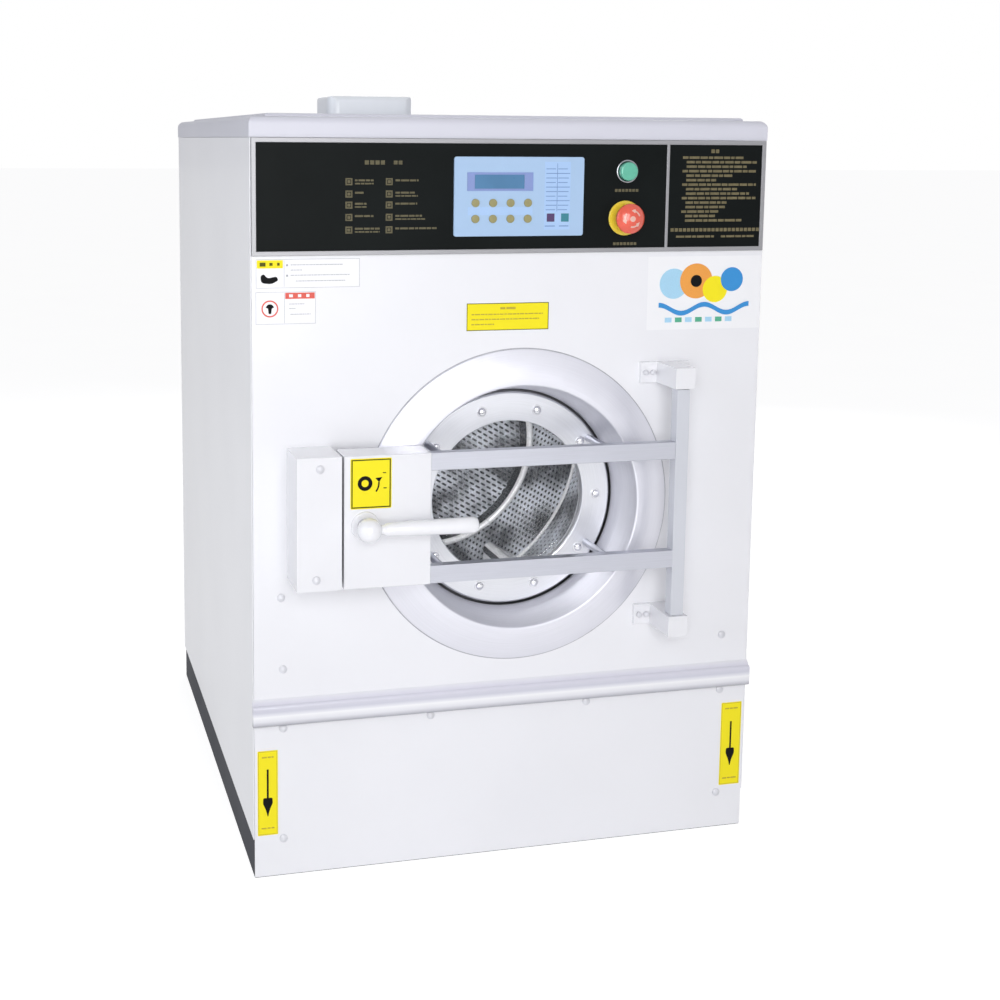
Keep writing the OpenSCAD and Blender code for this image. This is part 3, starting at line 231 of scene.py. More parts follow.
def dashes(x0: float, x1: float, z: float, height: float, seed: int = 0) -> np.ndarray:
    """A printed row of short bars, whose lengths follow the golden ratio's fractions.

    Args:
        x0: Where the row starts.
        x1: Where it ends.
        z: Middle of the row.
        height: Height of a bar.
        seed: Where in the run of fractions it starts.

    Returns:
        Rows of x0, z0, x1 and z1.
    """
    length = height * (1.4 + 3.2 * np.modf(GOLDEN * (np.arange(60) + 7 * seed))[0])
    start = x0 + np.concatenate([[0.0], np.cumsum(length + 0.45 * height)[:-1]])
    keep = start < x1 - 0.5 * height
    return row_boxes(start[keep], np.minimum(start + length, x1)[keep], z, height)


def blocks(x0: float, x1: float, z: float, size: float) -> np.ndarray:
    """A printed row of even square blocks, as rows of x0, z0, x1 and z1."""
    start = np.arange(x0, x1 - size * 0.9, size * 1.3)
    return row_boxes(start, start + size, z, size)


def arc_band(centre: Point, inner: float, outer: float, start: float, end: float) -> np.ndarray:
    """Outline of a part of a ring, out along its outer edge and back along its inner one, in degrees."""
    angle = np.radians(np.linspace(start, end, 32))
    return np.vstack([np.column_stack(around(centre, outer, angle)),
                      np.column_stack(around(centre, inner, angle[::-1]))])


def ring_quarters(centre: Point, inner: float, outer: float) -> List[np.ndarray]:
    """Outlines of the four quarters of a ring."""
    return [arc_band(centre, inner, outer, start, start + 90) for start in (0, 90, 180, 270)]


# ---------------------------------------------------------------- shader maths


class Term:
    """A socket's value. Python's operators on it add Math nodes."""

    def __init__(self, sheet: "Sheet", socket: bpy.types.NodeSocket) -> None:
        """Wraps an output socket of a sheet's node."""
        self.sheet = sheet
        self.socket = socket

    def __add__(self, other: "Value") -> "Term":
        """Sum."""
        return self.sheet.math("ADD", self, other)

    __radd__ = __add__

    def __sub__(self, other: "Value") -> "Term":
        """Difference."""
        return self.sheet.math("SUBTRACT", self, other)

    def __rsub__(self, other: "Value") -> "Term":
        """Difference from a number."""
        return self.sheet.math("SUBTRACT", other, self)

    def __mul__(self, other: "Value") -> "Term":
        """Product."""
        return self.sheet.math("MULTIPLY", self, other)

    __rmul__ = __mul__

    def __truediv__(self, other: "Value") -> "Term":
        """Quotient."""
        return self.sheet.math("DIVIDE", self, other)


Value = Union[Term, float, int, Sequence[float]]


class Sheet:
    """The node tree of one material or of the world."""

    def __init__(self, tree: bpy.types.NodeTree) -> None:
        """Starts from an empty tree."""
        self.tree = tree
        tree.nodes.clear()

    def node(self, kind: str, settings: Settings = None, inputs: Inputs = None) -> bpy.types.Node:
        """Adds a node.

        Args:
            kind: Blender's name for the node's type.
            settings: Its own settings, set first. stops gives a ramp's places and colours.
            inputs: A value or a term for each socket, by name or number. A colour has three channels.

        Returns:
            The node.
        """
        made = self.tree.nodes.new(kind)
        for name, value in (settings or {}).items():
            if name == "stops":
                ramp = made.color_ramp
                while len(ramp.elements) < len(value):
                    ramp.elements.new(1.0)
                for element, (place, colour) in zip(ramp.elements, value):
                    element.position = place
                    element.color = (*colour, 1.0)
            else:
                setattr(made, name, value)
        for name, value in (inputs or {}).items():
            socket = made.inputs[name]
            if isinstance(value, Term):
                self.tree.links.new(value.socket, socket)
            else:
                socket.default_value = (*value, 1.0) if socket.type == "RGBA" else value
        return made

    def term(self, kind: str, settings: Settings = None, inputs: Inputs = None,
             output: Union[str, int] = 0) -> Term:
        """Adds a node and gives one of its outputs."""
        return Term(self, self.node(kind, settings, inputs).outputs[output])

    def math(self, operation: str, first: Value, second: Value = 0.0) -> Term:
        """Adds a Math node."""
        return self.term("ShaderNodeMath", {"operation": operation}, {0: first, 1: second})

    def place(self, stretch: Point = (1, 1, 1), shift: Point = (0, 0, 0)) -> Term:
        """Object coordinates in metres, through a Mapping node."""
        coords = self.term("ShaderNodeTexCoord", output="Object")
        return self.term("ShaderNodeMapping", inputs={"Vector": coords, "Location": shift, "Scale": stretch})

    def split(self, vector: Term) -> List[Term]:
        """The three coordinates of a vector."""
        return [Term(self, out) for out in self.node("ShaderNodeSeparateXYZ", inputs={0: vector}).outputs]

    def rays(self) -> List[Term]:
        """Whether a ray comes from the camera, from gloss or through glass."""
        outputs = self.node("ShaderNodeLightPath").outputs
        return [Term(self, outputs[f"Is {kind} Ray"]) for kind in ("Camera", "Glossy", "Transmission")]

    def noise(self, scale: float, detail: float, vector: Optional[Term] = None, rough: float = 0.5) -> Term:
        """Noise from 0 to 1, with that many grains per metre."""
        return self.term("ShaderNodeTexNoise", inputs={
            "Vector": vector or self.place(), "Scale": scale, "Detail": detail, "Roughness": rough})

    def spread(self, value: Term, low: float, high: float, to_low: float = 0.0, to_high: float = 1.0) -> Term:
        """A value's span from low to high carried over to another span, held at its ends."""
        return self.term("ShaderNodeMapRange", {"clamp": True}, {
            "Value": value, "From Min": low, "From Max": high, "To Min": to_low, "To Max": to_high})

    def blend(self, share: Value, first: Value, second: Value) -> Term:
        """Colour between two colours, by a share from 0 to 1."""
        return self.term("ShaderNodeMix", {"data_type": "RGBA"}, {0: share, 6: first, 7: second}, output=2)

    def mixed(self, share: Term, first: Term, second: Term) -> Term:
        """Shader between two shaders."""
        return self.term("ShaderNodeMixShader", inputs={0: share, 1: first, 2: second})

    def bump(self, height: Term, distance: float) -> Term:
        """Normal of a bumped surface whose height of 1 stands distance metres proud."""
        return self.term("ShaderNodeBump", inputs={"Height": height, "Distance": distance})

    def finish(self, **sockets: Value) -> None:
        """Ends a material in a Principled shader with those sockets, their names written with underscores."""
        named = {name.replace("_", " "): value for name, value in sockets.items()}
        shader = self.term("ShaderNodeBsdfPrincipled", inputs=named)
        self.node("ShaderNodeOutputMaterial", inputs={"Surface": shader})


# ---------------------------------------------------------------- finishes


@dataclass(frozen=True)
class Finish:
    """A surface finish: one colour with a cloud of a second tone in it.

    tone is how far the cloud departs from the colour, cloud is its size in metres, and shine the strength
    of its plain reflection.
    """

    name: str
    colour: Colour
    roughness: float = 0.4
    tone: float = 0.05
    cloud: float = 0.18
    shine: float = 0.5

    def material(self) -> bpy.types.Material:
        """The finish's material, made once. Its name can't be that of a CAD slot's material."""
        name = f"{self.name}_finish"
        made = bpy.data.materials.get(name)
        if made is None:
            made = bpy.data.materials.new(name)
            made.use_nodes = True
            made.diffuse_color = (*self.colour, 1.0)
            self.paint(Sheet(made.node_tree))
        return made

    def paint(self, sheet: Sheet) -> None:
        """Draws the finish's nodes."""
        sheet.finish(Base_Color=self.clouded(sheet), Roughness=self.roughness)

    def darker(self, share: float) -> Colour:
        """The colour, darker by a share."""
        return tuple(channel * (1 - share) for channel in self.colour)

    def patches(self, sheet: Sheet, most: float = 1.0) -> Term:
        """The cloud's patches, from 0 up to most."""
        return sheet.spread(sheet.noise(1 / self.cloud, 3.0), 0.35, 0.7, to_high=most)

    def clouded(self, sheet: Sheet) -> Term:
        """The colour with its cloud, the darker tone where the noise is high."""
        return sheet.blend(self.patches(sheet), self.colour, self.darker(self.tone))


@dataclass(frozen=True)
class Enamel(Finish):
    """Stoved powder coat with a fine orange peel, under a thin gloss.

    relief is the height of the peel in metres, grains how many there are in a metre and octaves its detail.
    coat is the gloss and coat_roughness its roughness. soil gives the grains and the detail of the noise
    that moves the roughness by up to half of swing.
    """

    relief: float = 0.00006
    coat: float = 0.35
    grains: float = 420.0
    octaves: float = 1.0
    coat_roughness: float = 0.12
    soil: Pair = (3.1, 5.0)
    swing: float = 0.16

    def paint(self, sheet: Sheet) -> None:
        """Draws the cloud in the colour, the uneven gloss and the relief."""
        relief = sheet.noise(self.grains, self.octaves)
        soil = sheet.noise(*self.soil, rough=0.6)
        sheet.finish(
            Base_Color=self.clouded(sheet), Coat_Weight=self.coat, Coat_Roughness=self.coat_roughness,
            Roughness=self.roughness + self.swing * (soil - 0.5), Specular_IOR_Level=self.shine,
            Normal=sheet.bump(relief, self.relief))


@dataclass(frozen=True)
class Banded(Enamel):
    """Enamel whose tone follows the height above the floor: painted shade and highlight in bands, standing in
    for how the sky and the floor light a moulding.

    bands holds heights in metres and the colour at each.
    """

    bands: Tuple[Tuple[float, Colour], ...] = ()

    def clouded(self, sheet: Sheet) -> Term:
        """The bands' colour, broken by the cloud."""
        low, high = self.bands[0][0], self.bands[-1][0]
        height = sheet.spread(sheet.split(sheet.place())[2], low, high)
        stops = [((z - low) / (high - low), colour) for z, colour in self.bands]
        toned = sheet.term("ShaderNodeValToRGB", {"stops": stops}, {0: height})
        return sheet.blend(self.patches(sheet, self.tone), toned, (0.0, 0.0, 0.0))


@dataclass(frozen=True)
class Moulded(Enamel):
    """Moulded plastic or rubber with a fine spark-eroded grain."""

    relief: float = 0.00004
    coat: float = 0.0
    grains: float = 1100.0
    octaves: float = 2.0
    coat_roughness: float = 0.08
    soil: Pair = (9.0, 4.0)
    swing: float = 0.14


class Grain(Enum):
    """Direction in which a metal was brushed. Each value is its Mapping scale, which a round one leaves."""

    ALONG_X = (14.0, 900.0, 900.0)
    ALONG_Y = (900.0, 14.0, 900.0)
    ALONG_Z = (900.0, 900.0, 14.0)
    ROUND = (0.0, 0.0, 0.0)


@dataclass(frozen=True)
class Steel(Finish):
    """Brushed or turned metal.

    grain is the direction of the brushing, scratch how much it moves the roughness and depth its height in
    metres. wide is the wide cloud's share in the tone, and reach the half range of the noise that the tone
    spans. A round grain has its axis at centre, x and z in metres, and fine lines per metre.
    """

    grain: Grain = Grain.ALONG_X
    scratch: float = 0.14
    metallic: float = 1.0
    wide: float = 0.25
    reach: float = 0.2
    depth: float = 0.00003
    centre: Pair = (DOOR_AXIS[0] / MM, DOOR_AXIS[1] / MM)
    fine: float = 900.0

    def brushed(self, sheet: Sheet) -> Term:
        """Noise drawn out along the grain.

        A round grain reads (fine * radius, 2 * cos angle, 2 * sin angle) about the centre.
        """
        if self.grain is not Grain.ROUND:
            return sheet.noise(1.0, 3.0, sheet.place(self.grain.value), 0.6)
        across, _, up = sheet.split(sheet.place(shift=(-self.centre[0], 0.0, -self.centre[1])))
        radius = sheet.math("SQRT", across * across + up * up) + 0.0001
        ring = sheet.term("ShaderNodeCombineXYZ", inputs={
            0: self.fine * radius, 1: 2.0 * across / radius, 2: 2.0 * up / radius})
        return sheet.noise(1.0, 3.0, ring, 0.6)

    def paint(self, sheet: Sheet) -> None:
        """Draws the scratches in tone, roughness and height, over a wide cloud."""
        scratch = self.brushed(sheet)
        wide = sheet.noise(1 / self.cloud, 4.0)
        mixed = scratch * (1 - self.wide) + wide * self.wide
        share = sheet.spread(mixed, 0.5 - self.reach, 0.5 + self.reach)
        sheet.finish(
            Base_Color=sheet.blend(share, self.darker(self.tone * 2.2), self.colour), Metallic=self.metallic,
            Roughness=self.roughness + self.scratch * (scratch - 0.5) + 0.1 * (wide - 0.5),
            Normal=sheet.bump(scratch, self.depth))


@dataclass(frozen=True)
class Casting(Finish):
    """Painted casting: coarse sand texture with bare high spots."""

    sand: float = 0.0004

    def paint(self, sheet: Sheet) -> None:
        """Draws the sand's height and the lighter worn spots on it."""
        sand = sheet.noise(260.0, 4.0, rough=0.65)
        worn = sheet.spread(sand, 0.62, 0.74)
        light = tuple(min(1.0, channel * 1.8 + 0.05) for channel in self.colour)
        sheet.finish(
            Base_Color=sheet.blend(worn, self.clouded(sheet), light),
            Roughness=self.roughness - 0.15 * worn, Normal=sheet.bump(sand, self.sand))


@dataclass(frozen=True)
class Ink(Finish):
    """Printed film: even colour, broken by the press's fine mottle."""

    mottle: float = 0.12

    def paint(self, sheet: Sheet) -> None:
        """Draws the mottle over the cloud, and a film's faint waves."""
        speck = sheet.spread(sheet.noise(1500.0, 2.0), 0.35, 0.65)
        sheet.finish(
            Base_Color=sheet.blend(speck, self.clouded(sheet), self.darker(self.mottle)),
            Roughness=self.roughness + 0.08 * speck, Specular_IOR_Level=self.shine,
            Normal=sheet.bump(sheet.noise(60.0, 2.0), 0.0001))


@dataclass(frozen=True)
class Clear(Finish):
    """Glass or clear plastic.

    share is how much light it bends and lets through, and body how much of it stands in the light's way at
    all, so that lamps reach what lies behind it.
    """

    share: float = 1.0
    index: float = 1.45
    body: float = 0.3

    def paint(self, sheet: Sheet) -> None:
        """Draws the tint and a faint bloom on the surface."""
        bloom = sheet.spread(sheet.noise(7.0, 4.0, rough=0.6), 0.45, 0.8)
        sheet.finish(
            Base_Color=self.clouded(sheet), Roughness=0.02 * bloom, IOR=self.index,
            Transmission_Weight=self.share, Alpha=self.body)


WHITE = Enamel("cabinet_powder_coat", (0.83, 0.83, 0.86), 0.34, 0.03, 0.3)
GLOSS_WHITE = Enamel("door_hardware_enamel", (0.80, 0.80, 0.83), 0.22, 0.03, 0.12, relief=0.00004, coat=0.7)
# Darker, bluer copy of the cabinet paint: painted shade on the top cover.
COVER_PAINTED_SHADE = Enamel("cover_coat_painted_shade", (0.66, 0.66, 0.73), 0.4, 0.03, 0.3, 0.3, coat=0.1)
# Darker copy of the door hardware paint: painted shade on the hinge post.
POST_PAINTED_SHADE = Enamel("post_enamel_painted_shade", (0.60, 0.615, 0.665), 0.26, 0.03, 0.12, relief=0.00004, coat=0.5)
BLACK_PAINT = Enamel("floor_frame_paint", (0.026, 0.028, 0.040), 0.6, 0.25, 0.12, 0.12, 0.00012, 0.0)
# Cabinet paint with painted shade and highlight in bands by height: a dark line at the foot, a bright nose
# and a darker shelf under the top.
RAIL_PAINTED_SHADE_AND_HIGHLIGHT = Banded("moulding_coat_painted_shade_and_highlight", (0.83, 0.83, 0.86), 0.34, 0.03, 0.3, bands=(
    (RAIL_LOW, (0.28, 0.28, 0.32)), (RAIL_LOW + 0.003, (0.45, 0.45, 0.50)),
    (RAIL_LOW + 0.010, (0.76, 0.76, 0.80)), (RAIL_LOW + 0.018, (0.90, 0.90, 0.92)),
    (RAIL_HIGH - 0.026, (0.88, 0.88, 0.91)), (RAIL_HIGH - 0.018, (0.60, 0.60, 0.68)),
    (RAIL_HIGH - 0.006, (0.70, 0.69, 0.77)), (RAIL_HIGH, (0.80, 0.80, 0.84))))
SCREW = Enamel("screw_enamel", (0.70, 0.70, 0.74), 0.3, 0.08, 0.02, relief=0.00001, coat=0.3)
TRIM = Steel("anodised_trim", (0.33, 0.33, 0.345), 0.4, 0.06, 0.1, metallic=0.6)
RING = Steel("surround_satin", (0.76, 0.76, 0.82), 0.42, 0.035, 0.12, grain=Grain.ROUND, scratch=0.08,
             metallic=0.5)
DISC = Steel("door_disc_steel", (0.76, 0.77, 0.81), 0.36, 0.05, 0.09, grain=Grain.ROUND, metallic=0.8)
ARM = Steel("arm_steel", (0.54, 0.55, 0.61), 0.38, 0.05, 0.1, metallic=0.8)
BOLT = Steel("door_bolt_steel", (0.82, 0.82, 0.85), 0.18, 0.04, 0.02, grain=Grain.ALONG_Z, scratch=0.06)
# Drum and back steel: their wide cloud of darker tone is painted reflection, patches of reflected light and
# shade on the steel.
DRUM_PAINTED_REFLECTION = Steel("drum_steel", (0.84, 0.87, 0.94), 0.34, 0.40, 0.10, grain=Grain.ALONG_Y, metallic=0.15,
             wide=0.85, reach=0.09)
BACK_PAINTED_REFLECTION = Steel("drum_back_steel", (0.86, 0.89, 0.96), 0.34, 0.40, 0.09, grain=Grain.ALONG_Z, metallic=0.12,
             wide=0.85, reach=0.09)
# Near-white copy of the drum steel: painted highlight on the back's bead, domes and rim and on the lifters.
RIB_PAINTED_HIGHLIGHT = Steel("drum_rib_painted_highlight", (0.97, 0.97, 0.98), 0.26, 0.03, 0.07, grain=Grain.ALONG_Y, metallic=0.1)
# Near-black copy of the drum steel: painted shade, laid behind the holes and slots and on one side of each
# lifter.
DRUM_PAINTED_SHADE = Steel("drum_painted_shade", (0.035, 0.036, 0.04), 0.6, 0.1, 0.1, grain=Grain.ALONG_Y, metallic=0.3)
TUB = Steel("tub_steel", (0.34, 0.35, 0.37), 0.4, 0.08, 0.1, grain=Grain.ALONG_Y)
SHAFT = Steel("turned_steel", (0.50, 0.51, 0.53), 0.25, 0.06, 0.04, grain=Grain.ALONG_Z)
BEARING = Steel("ground_steel", (0.66, 0.67, 0.70), 0.18, 0.04, 0.03, grain=Grain.ROUND)
IRON = Casting("painted_casting", (0.055, 0.06, 0.068), 0.6, 0.1, 0.1)
MOTOR = Enamel("motor_enamel", (0.035, 0.055, 0.095), 0.42, 0.12, 0.1, relief=0.0002, coat=0.2)
RUBBER = Moulded("seal_rubber", (0.30, 0.30, 0.33), 0.6, 0.15, 0.05, relief=0.00008)
BELT = Moulded("belt_rubber", (0.012, 0.012, 0.013), 0.7, 0.25, 0.03, relief=0.0002, grains=700.0)
PIPE = Moulded("drain_plastic", (0.055, 0.058, 0.065), 0.45, 0.1, 0.08)
NYLON = Moulded("valve_nylon", (0.60, 0.60, 0.56), 0.45, 0.06, 0.05)
BLACK_NYLON = Moulded("gland_nylon", (0.015, 0.015, 0.017), 0.5, 0.15, 0.02)
CASE = Moulded("inverter_case", (0.27, 0.28, 0.30), 0.5, 0.06, 0.1)
FASCIA = Moulded("fascia_film", (0.0065, 0.0085, 0.0085), 0.42, 0.3, 0.15, 0.06, relief=0.00002, coat=0.0)
KEYPAD = Ink("keypad_film", (0.41, 0.57, 0.79), 0.45, 0.04, 0.08, 0.2, mottle=0.04)
KEYPAD_BAND = Ink("keypad_band_film", (0.42, 0.60, 0.88), 0.45, 0.05, 0.04, 0.2, mottle=0.05)
KEYPAD_LINE = Ink("keypad_line_ink", (0.17, 0.27, 0.55), 0.45, 0.05, 0.03, 0.2, mottle=0.1)
BEZEL = Ink("display_bezel_film", (0.26, 0.33, 0.62), 0.45, 0.05, 0.03, 0.2, mottle=0.06)
DISPLAY = Moulded("display_window", (0.095, 0.235, 0.42), 0.3, 0.12, 0.05, 0.2, relief=0.00001, coat=0.1)
KEY = Moulded("key_dome", (0.30, 0.27, 0.11), 0.4, 0.1, 0.006, relief=0.00002, coat=0.2)
KEY_PURPLE = Ink("purple_mark_ink", (0.07, 0.03, 0.12), 0.4, 0.1, 0.01)
KEY_TEAL = Ink("teal_mark_ink", (0.03, 0.22, 0.28), 0.4, 0.1, 0.01)
GREEN = Moulded("start_green", (0.10, 0.48, 0.33), 0.2, 0.1, 0.01, relief=0.00001, coat=0.8)
CHROME = Steel("button_bezel_chrome", (0.34, 0.35, 0.37), 0.12, 0.04, 0.01, grain=Grain.ALONG_Z, scratch=0.05)
COLLAR = Moulded("collar_yellow", (0.88, 0.66, 0.05), 0.28, 0.06, 0.02, relief=0.00002, coat=0.5)
RED = Moulded("stop_red", (0.80, 0.09, 0.045), 0.24, 0.1, 0.012, relief=0.00001, coat=0.7)
# Pale red: ink of the turning arrows, and painted highlight on the disc at the stop head's middle.
PALE_RED = Ink("stop_arrow_ink_and_highlight", (0.86, 0.52, 0.44), 0.35, 0.05, 0.01)
STEM = Moulded("stem_grey", (0.03, 0.03, 0.035), 0.5, 0.1, 0.02)
GRIP = Enamel("lever_grip", (0.86, 0.86, 0.89), 0.2, 0.03, 0.04, relief=0.00002, coat=0.8)
GLASS = Clear("door_glass", (0.96, 0.98, 0.985), 0.0, 0.02, 0.3, body=0.1)
# Grey bead round the door ring's foot: painted shadow, the ring's contact shadow on the panel.
PAINTED_SHADOW_LINE = Moulded("grey_painted_shadow", (0.45, 0.45, 0.49), 0.5, 0.2, 0.04, relief=0.00004)
SILICONE = Moulded("clear_silicone", (0.62, 0.62, 0.66), 0.4, 0.06, 0.05, relief=0.00002, coat=0.2)
HOPPER = Moulded("hopper_plastic", (0.76, 0.79, 0.83), 0.3, 0.04, 0.08, relief=0.00003, coat=0.3)
GOLD_INK = Ink("gold_ink", (0.185, 0.165, 0.10), 0.5, 0.35, 0.006, 0.1, mottle=0.45)
NOTICE_INK = Ink("notice_ink", (0.24, 0.205, 0.115), 0.5, 0.35, 0.006, 0.1, mottle=0.45)
PAPER = Ink("label_film", (0.88, 0.88, 0.90), 0.3, 0.02, 0.1, mottle=0.02)
GREY_INK = Ink("grey_ink", (0.40, 0.40, 0.44), 0.5, 0.05, 0.02, 0.2)
PALE_INK = Ink("pale_grey_ink", (0.52, 0.52, 0.56), 0.5, 0.05, 0.02, 0.2)
BLACK_INK = Ink("black_ink", (0.006, 0.006, 0.007), 0.5, 0.1, 0.02, 0.08)
YELLOW = Ink("label_yellow", (0.92, 0.79, 0.02), 0.4, 0.04, 0.06, 0.15, mottle=0.04)
DARK_YELLOW = Ink("yellow_line_ink", (0.52, 0.40, 0.02), 0.4, 0.05, 0.02)
OLIVE = Ink("label_border_ink", (0.10, 0.10, 0.012), 0.45, 0.1, 0.02, 0.1)
RED_INK = Ink("red_ink", (0.74, 0.09, 0.06), 0.4, 0.06, 0.02)
ORANGE = Ink("orange_ink", (0.88, 0.36, 0.06), 0.4, 0.05, 0.03)
BLUE_INK = Ink("blue_ink", (0.03, 0.28, 0.66), 0.4, 0.05, 0.03)
SKY_INK = Ink("pale_blue_ink", (0.40, 0.68, 0.88), 0.4, 0.05, 0.03)
GREEN_INK = Ink("green_ink", (0.08, 0.42, 0.26), 0.4, 0.05, 0.03)


# ---------------------------------------------------------------- pieces


@contextmanager
def edited(mesh: bpy.types.Mesh) -> Iterator[bmesh.types.BMesh]:
    """A mesh's edit form, written back at the end."""
    work = bmesh.new()
    work.from_mesh(mesh)
    yield work
    work.to_mesh(mesh)
    work.free()


def settle(mesh: bpy.types.Mesh, outward: bool = False) -> None:
    """Merges a mesh's doubled points and, on a closed shape, turns its faces outwards."""
    with edited(mesh) as work:
        bmesh.ops.remove_doubles(work, verts=work.verts, dist=MERGE)
        if outward:
            bmesh.ops.recalc_face_normals(work, faces=work.faces)


def build(name: str, shell: Shell, body: str, finish: Finish, replaces: Sequence[str] = (),
          outward: bool = True) -> bpy.types.Object:
    """Makes a piece from a shell and fastens it to a body.

    Args:
        name: The piece's name.
        shell: Its surface in millimetres of the front frame.
        body: CAD body it rides on.
        finish: Its finish.
        replaces: CAD nodes it stands for.
        outward: Whether it is a closed shape whose faces are turned outwards.

    Returns:
        The piece.
    """
    mesh = bpy.data.meshes.new(name)
    points = (shell.points + (0.0, FRONT, 0.0)) / MM
    mesh.from_pydata(points.tolist(), [], [face for block in shell.faces for face in block.tolist()])
    settle(mesh, outward)
    mesh.shade_smooth()
    mesh.set_sharp_from_angle(angle=CREASE)
    return fasten(name, mesh, body, finish, replaces)


def coat(mesh: bpy.types.Mesh, finish: Finish) -> None:
    """Gives a mesh one finish."""
    mesh.materials.clear()
    mesh.materials.append(finish.material())


def fasten(name: str, mesh: bpy.types.Mesh, body: str, finish: Finish,
           replaces: Sequence[str]) -> bpy.types.Object:
    """Puts a mesh into the scene as a piece that rides on a body."""
    coat(mesh, finish)
    piece = bpy.data.objects.new(name, mesh)
    bpy.context.scene.collection.objects.link(piece)
    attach(piece, body)
    if replaces:
        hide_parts(*replaces)
    log.info("%s: %d faces on %s", name, len(mesh.polygons), body)
    return piece


def surfaced(node: str, body: str, slot: str, finish: Finish, edge: float = 0.0,
             crease: float = 30.0) -> bpy.types.Object:
    """Copy of a CAD node with smooth faces, and with round edges where a width is given.

    Args:
        node: CAD node it stands for.
        body: CAD body it rides on.
        slot: Material slot of the record; not used.
        finish: Its finish.
        edge: Width in millimetres of the rounding of its sharp edges.
        crease: Angle in degrees from which an edge is sharp.

    Returns:
        The piece.
    """
    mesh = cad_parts[node].data.copy()
    mesh.name = f"{node}_surface"
    settle(mesh)
    if edge:
        with edited(mesh) as work:
            bmesh.ops.dissolve_limit(work, angle_limit=FLAT, verts=work.verts, edges=work.edges)
    mesh.shade_smooth()
    piece = fasten(f"{node}_surface", mesh, body, finish, (node,))
    if edge:
        rounding = piece.modifiers.new("edge_rounding", "BEVEL")
        rounding.width = edge / MM
        rounding.segments = 2
        rounding.limit_method = "ANGLE"
        rounding.angle_limit = math.radians(crease)
        levelling = piece.modifiers.new("face_levelling", "WEIGHTED_NORMAL")
        levelling.weight = 100
        levelling.keep_sharp = True
    else:
        mesh.set_sharp_from_angle(angle=math.radians(crease))
    return piece


def surface_all(body: str, *rows: Sequence[Any]) -> None:
    """Copies several CAD nodes of a body, each row a node with its slot, finish, edge and crease."""
    for node, *rest in rows:
        surfaced(node, body, *rest)


def dress(finish: Finish, node: str) -> None:
    """Gives a CAD node a finish."""
    coat(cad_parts[node].data, finish)
    log.info("%s: dressed in %s", node, finish.name)


@dataclass
class Cabinet:
    """Casing: panels, cover, moulding, floor frame and screws."""

    edge: float = 0.8
    cover_edge: float = 1.6

    def build(self) -> None:
        """Makes the panels' smooth surfaces."""
        surface_all(
            "cabinet",
            *((f"{place}_panel", "cabinet_paint", WHITE, self.edge)
              for place in ("left", "right", "front", "service")),
            # The cover is a darker copy of the cabinet paint: painted shade.
            ("top_cover", "cabinet_paint", COVER_PAINTED_SHADE, self.cover_edge),
            # The rail's bands by height are painted shade and highlight.
            ("front_rail", "cabinet_paint", RAIL_PAINTED_SHADE_AND_HIGHLIGHT, self.cover_edge),
            ("cabinet_screws", "fastener_steel", SCREW),
            ("base_frame", "frame_paint", BLACK_PAINT, self.edge))

    def dress(self) -> None:
        """Finishes the posts, which keep their CAD surface."""
        dress(BLACK_PAINT, "corner_posts")


@dataclass
class Rear:
    """Rear panel with pressed hoods over its louvres, and the services that stand out of it."""

    plane: float = 980.0
    louvre_x: float = 230.0
    louvre_z: float = 860.0
    louvre_dz: float = 21.0
    count: int = 7
    half_width: float = 79.0
    height: float = 7.0
    drop: float = 12.0
    top: float = 8.5
    wall: float = 1.2
    steps: Tuple[int, int] = (25, 7)
    edge: float = 0.5

    def hood(self, x: float, z: float) -> Shell:
        """Closed hood over one louvre.

        Section at u along it: a quarter ellipse out to height * (1 - |u|^6)^0.5 behind the panel and down
        by drop, and a second one inside it by the wall.
        """
        u = np.linspace(-1, 1, self.steps[0])
        swell = np.sqrt(np.clip(1 - np.abs(u) ** 6, 0.0, 1.0)) * self.height + 0.1
        angle = np.linspace(0, np.pi / 2, self.steps[1])
        out, down = np.sin(angle)[:, None], (1 - np.cos(angle))[:, None] * self.drop
        rise = np.vstack([out * swell, (out * np.maximum(swell - self.wall, 0.02) - 0.2)[::-1]])
        fall = np.vstack([down, down[::-1] + 0.01])
        across, height = x + u * self.half_width, z + self.top + self.drop * 0.25 - fall
        return grid(placed(across, self.plane + rise, height), wrap_rows=True)

    def build(self) -> None:
        """Makes the panel's surface and the hoods."""
        surfaced("rear_panel", "cabinet", "cabinet_paint", WHITE, self.edge)
        hoods = [self.hood(side * self.louvre_x, self.louvre_z - i * self.louvre_dz)
                 for side in (-1, 1) for i in range(self.count)]
        build("louvre_hoods", joined(hoods), "cabinet", WHITE)

    def dress(self) -> None:
        """Finishes the pipes, valves and gland."""
        surface_all(
            "cabinet", ("drain_valve", "pipe_plastic", PIPE), ("inlet_valves", "valve_plastic", NYLON),
            ("cable_gland", "gland_nylon", BLACK_NYLON))


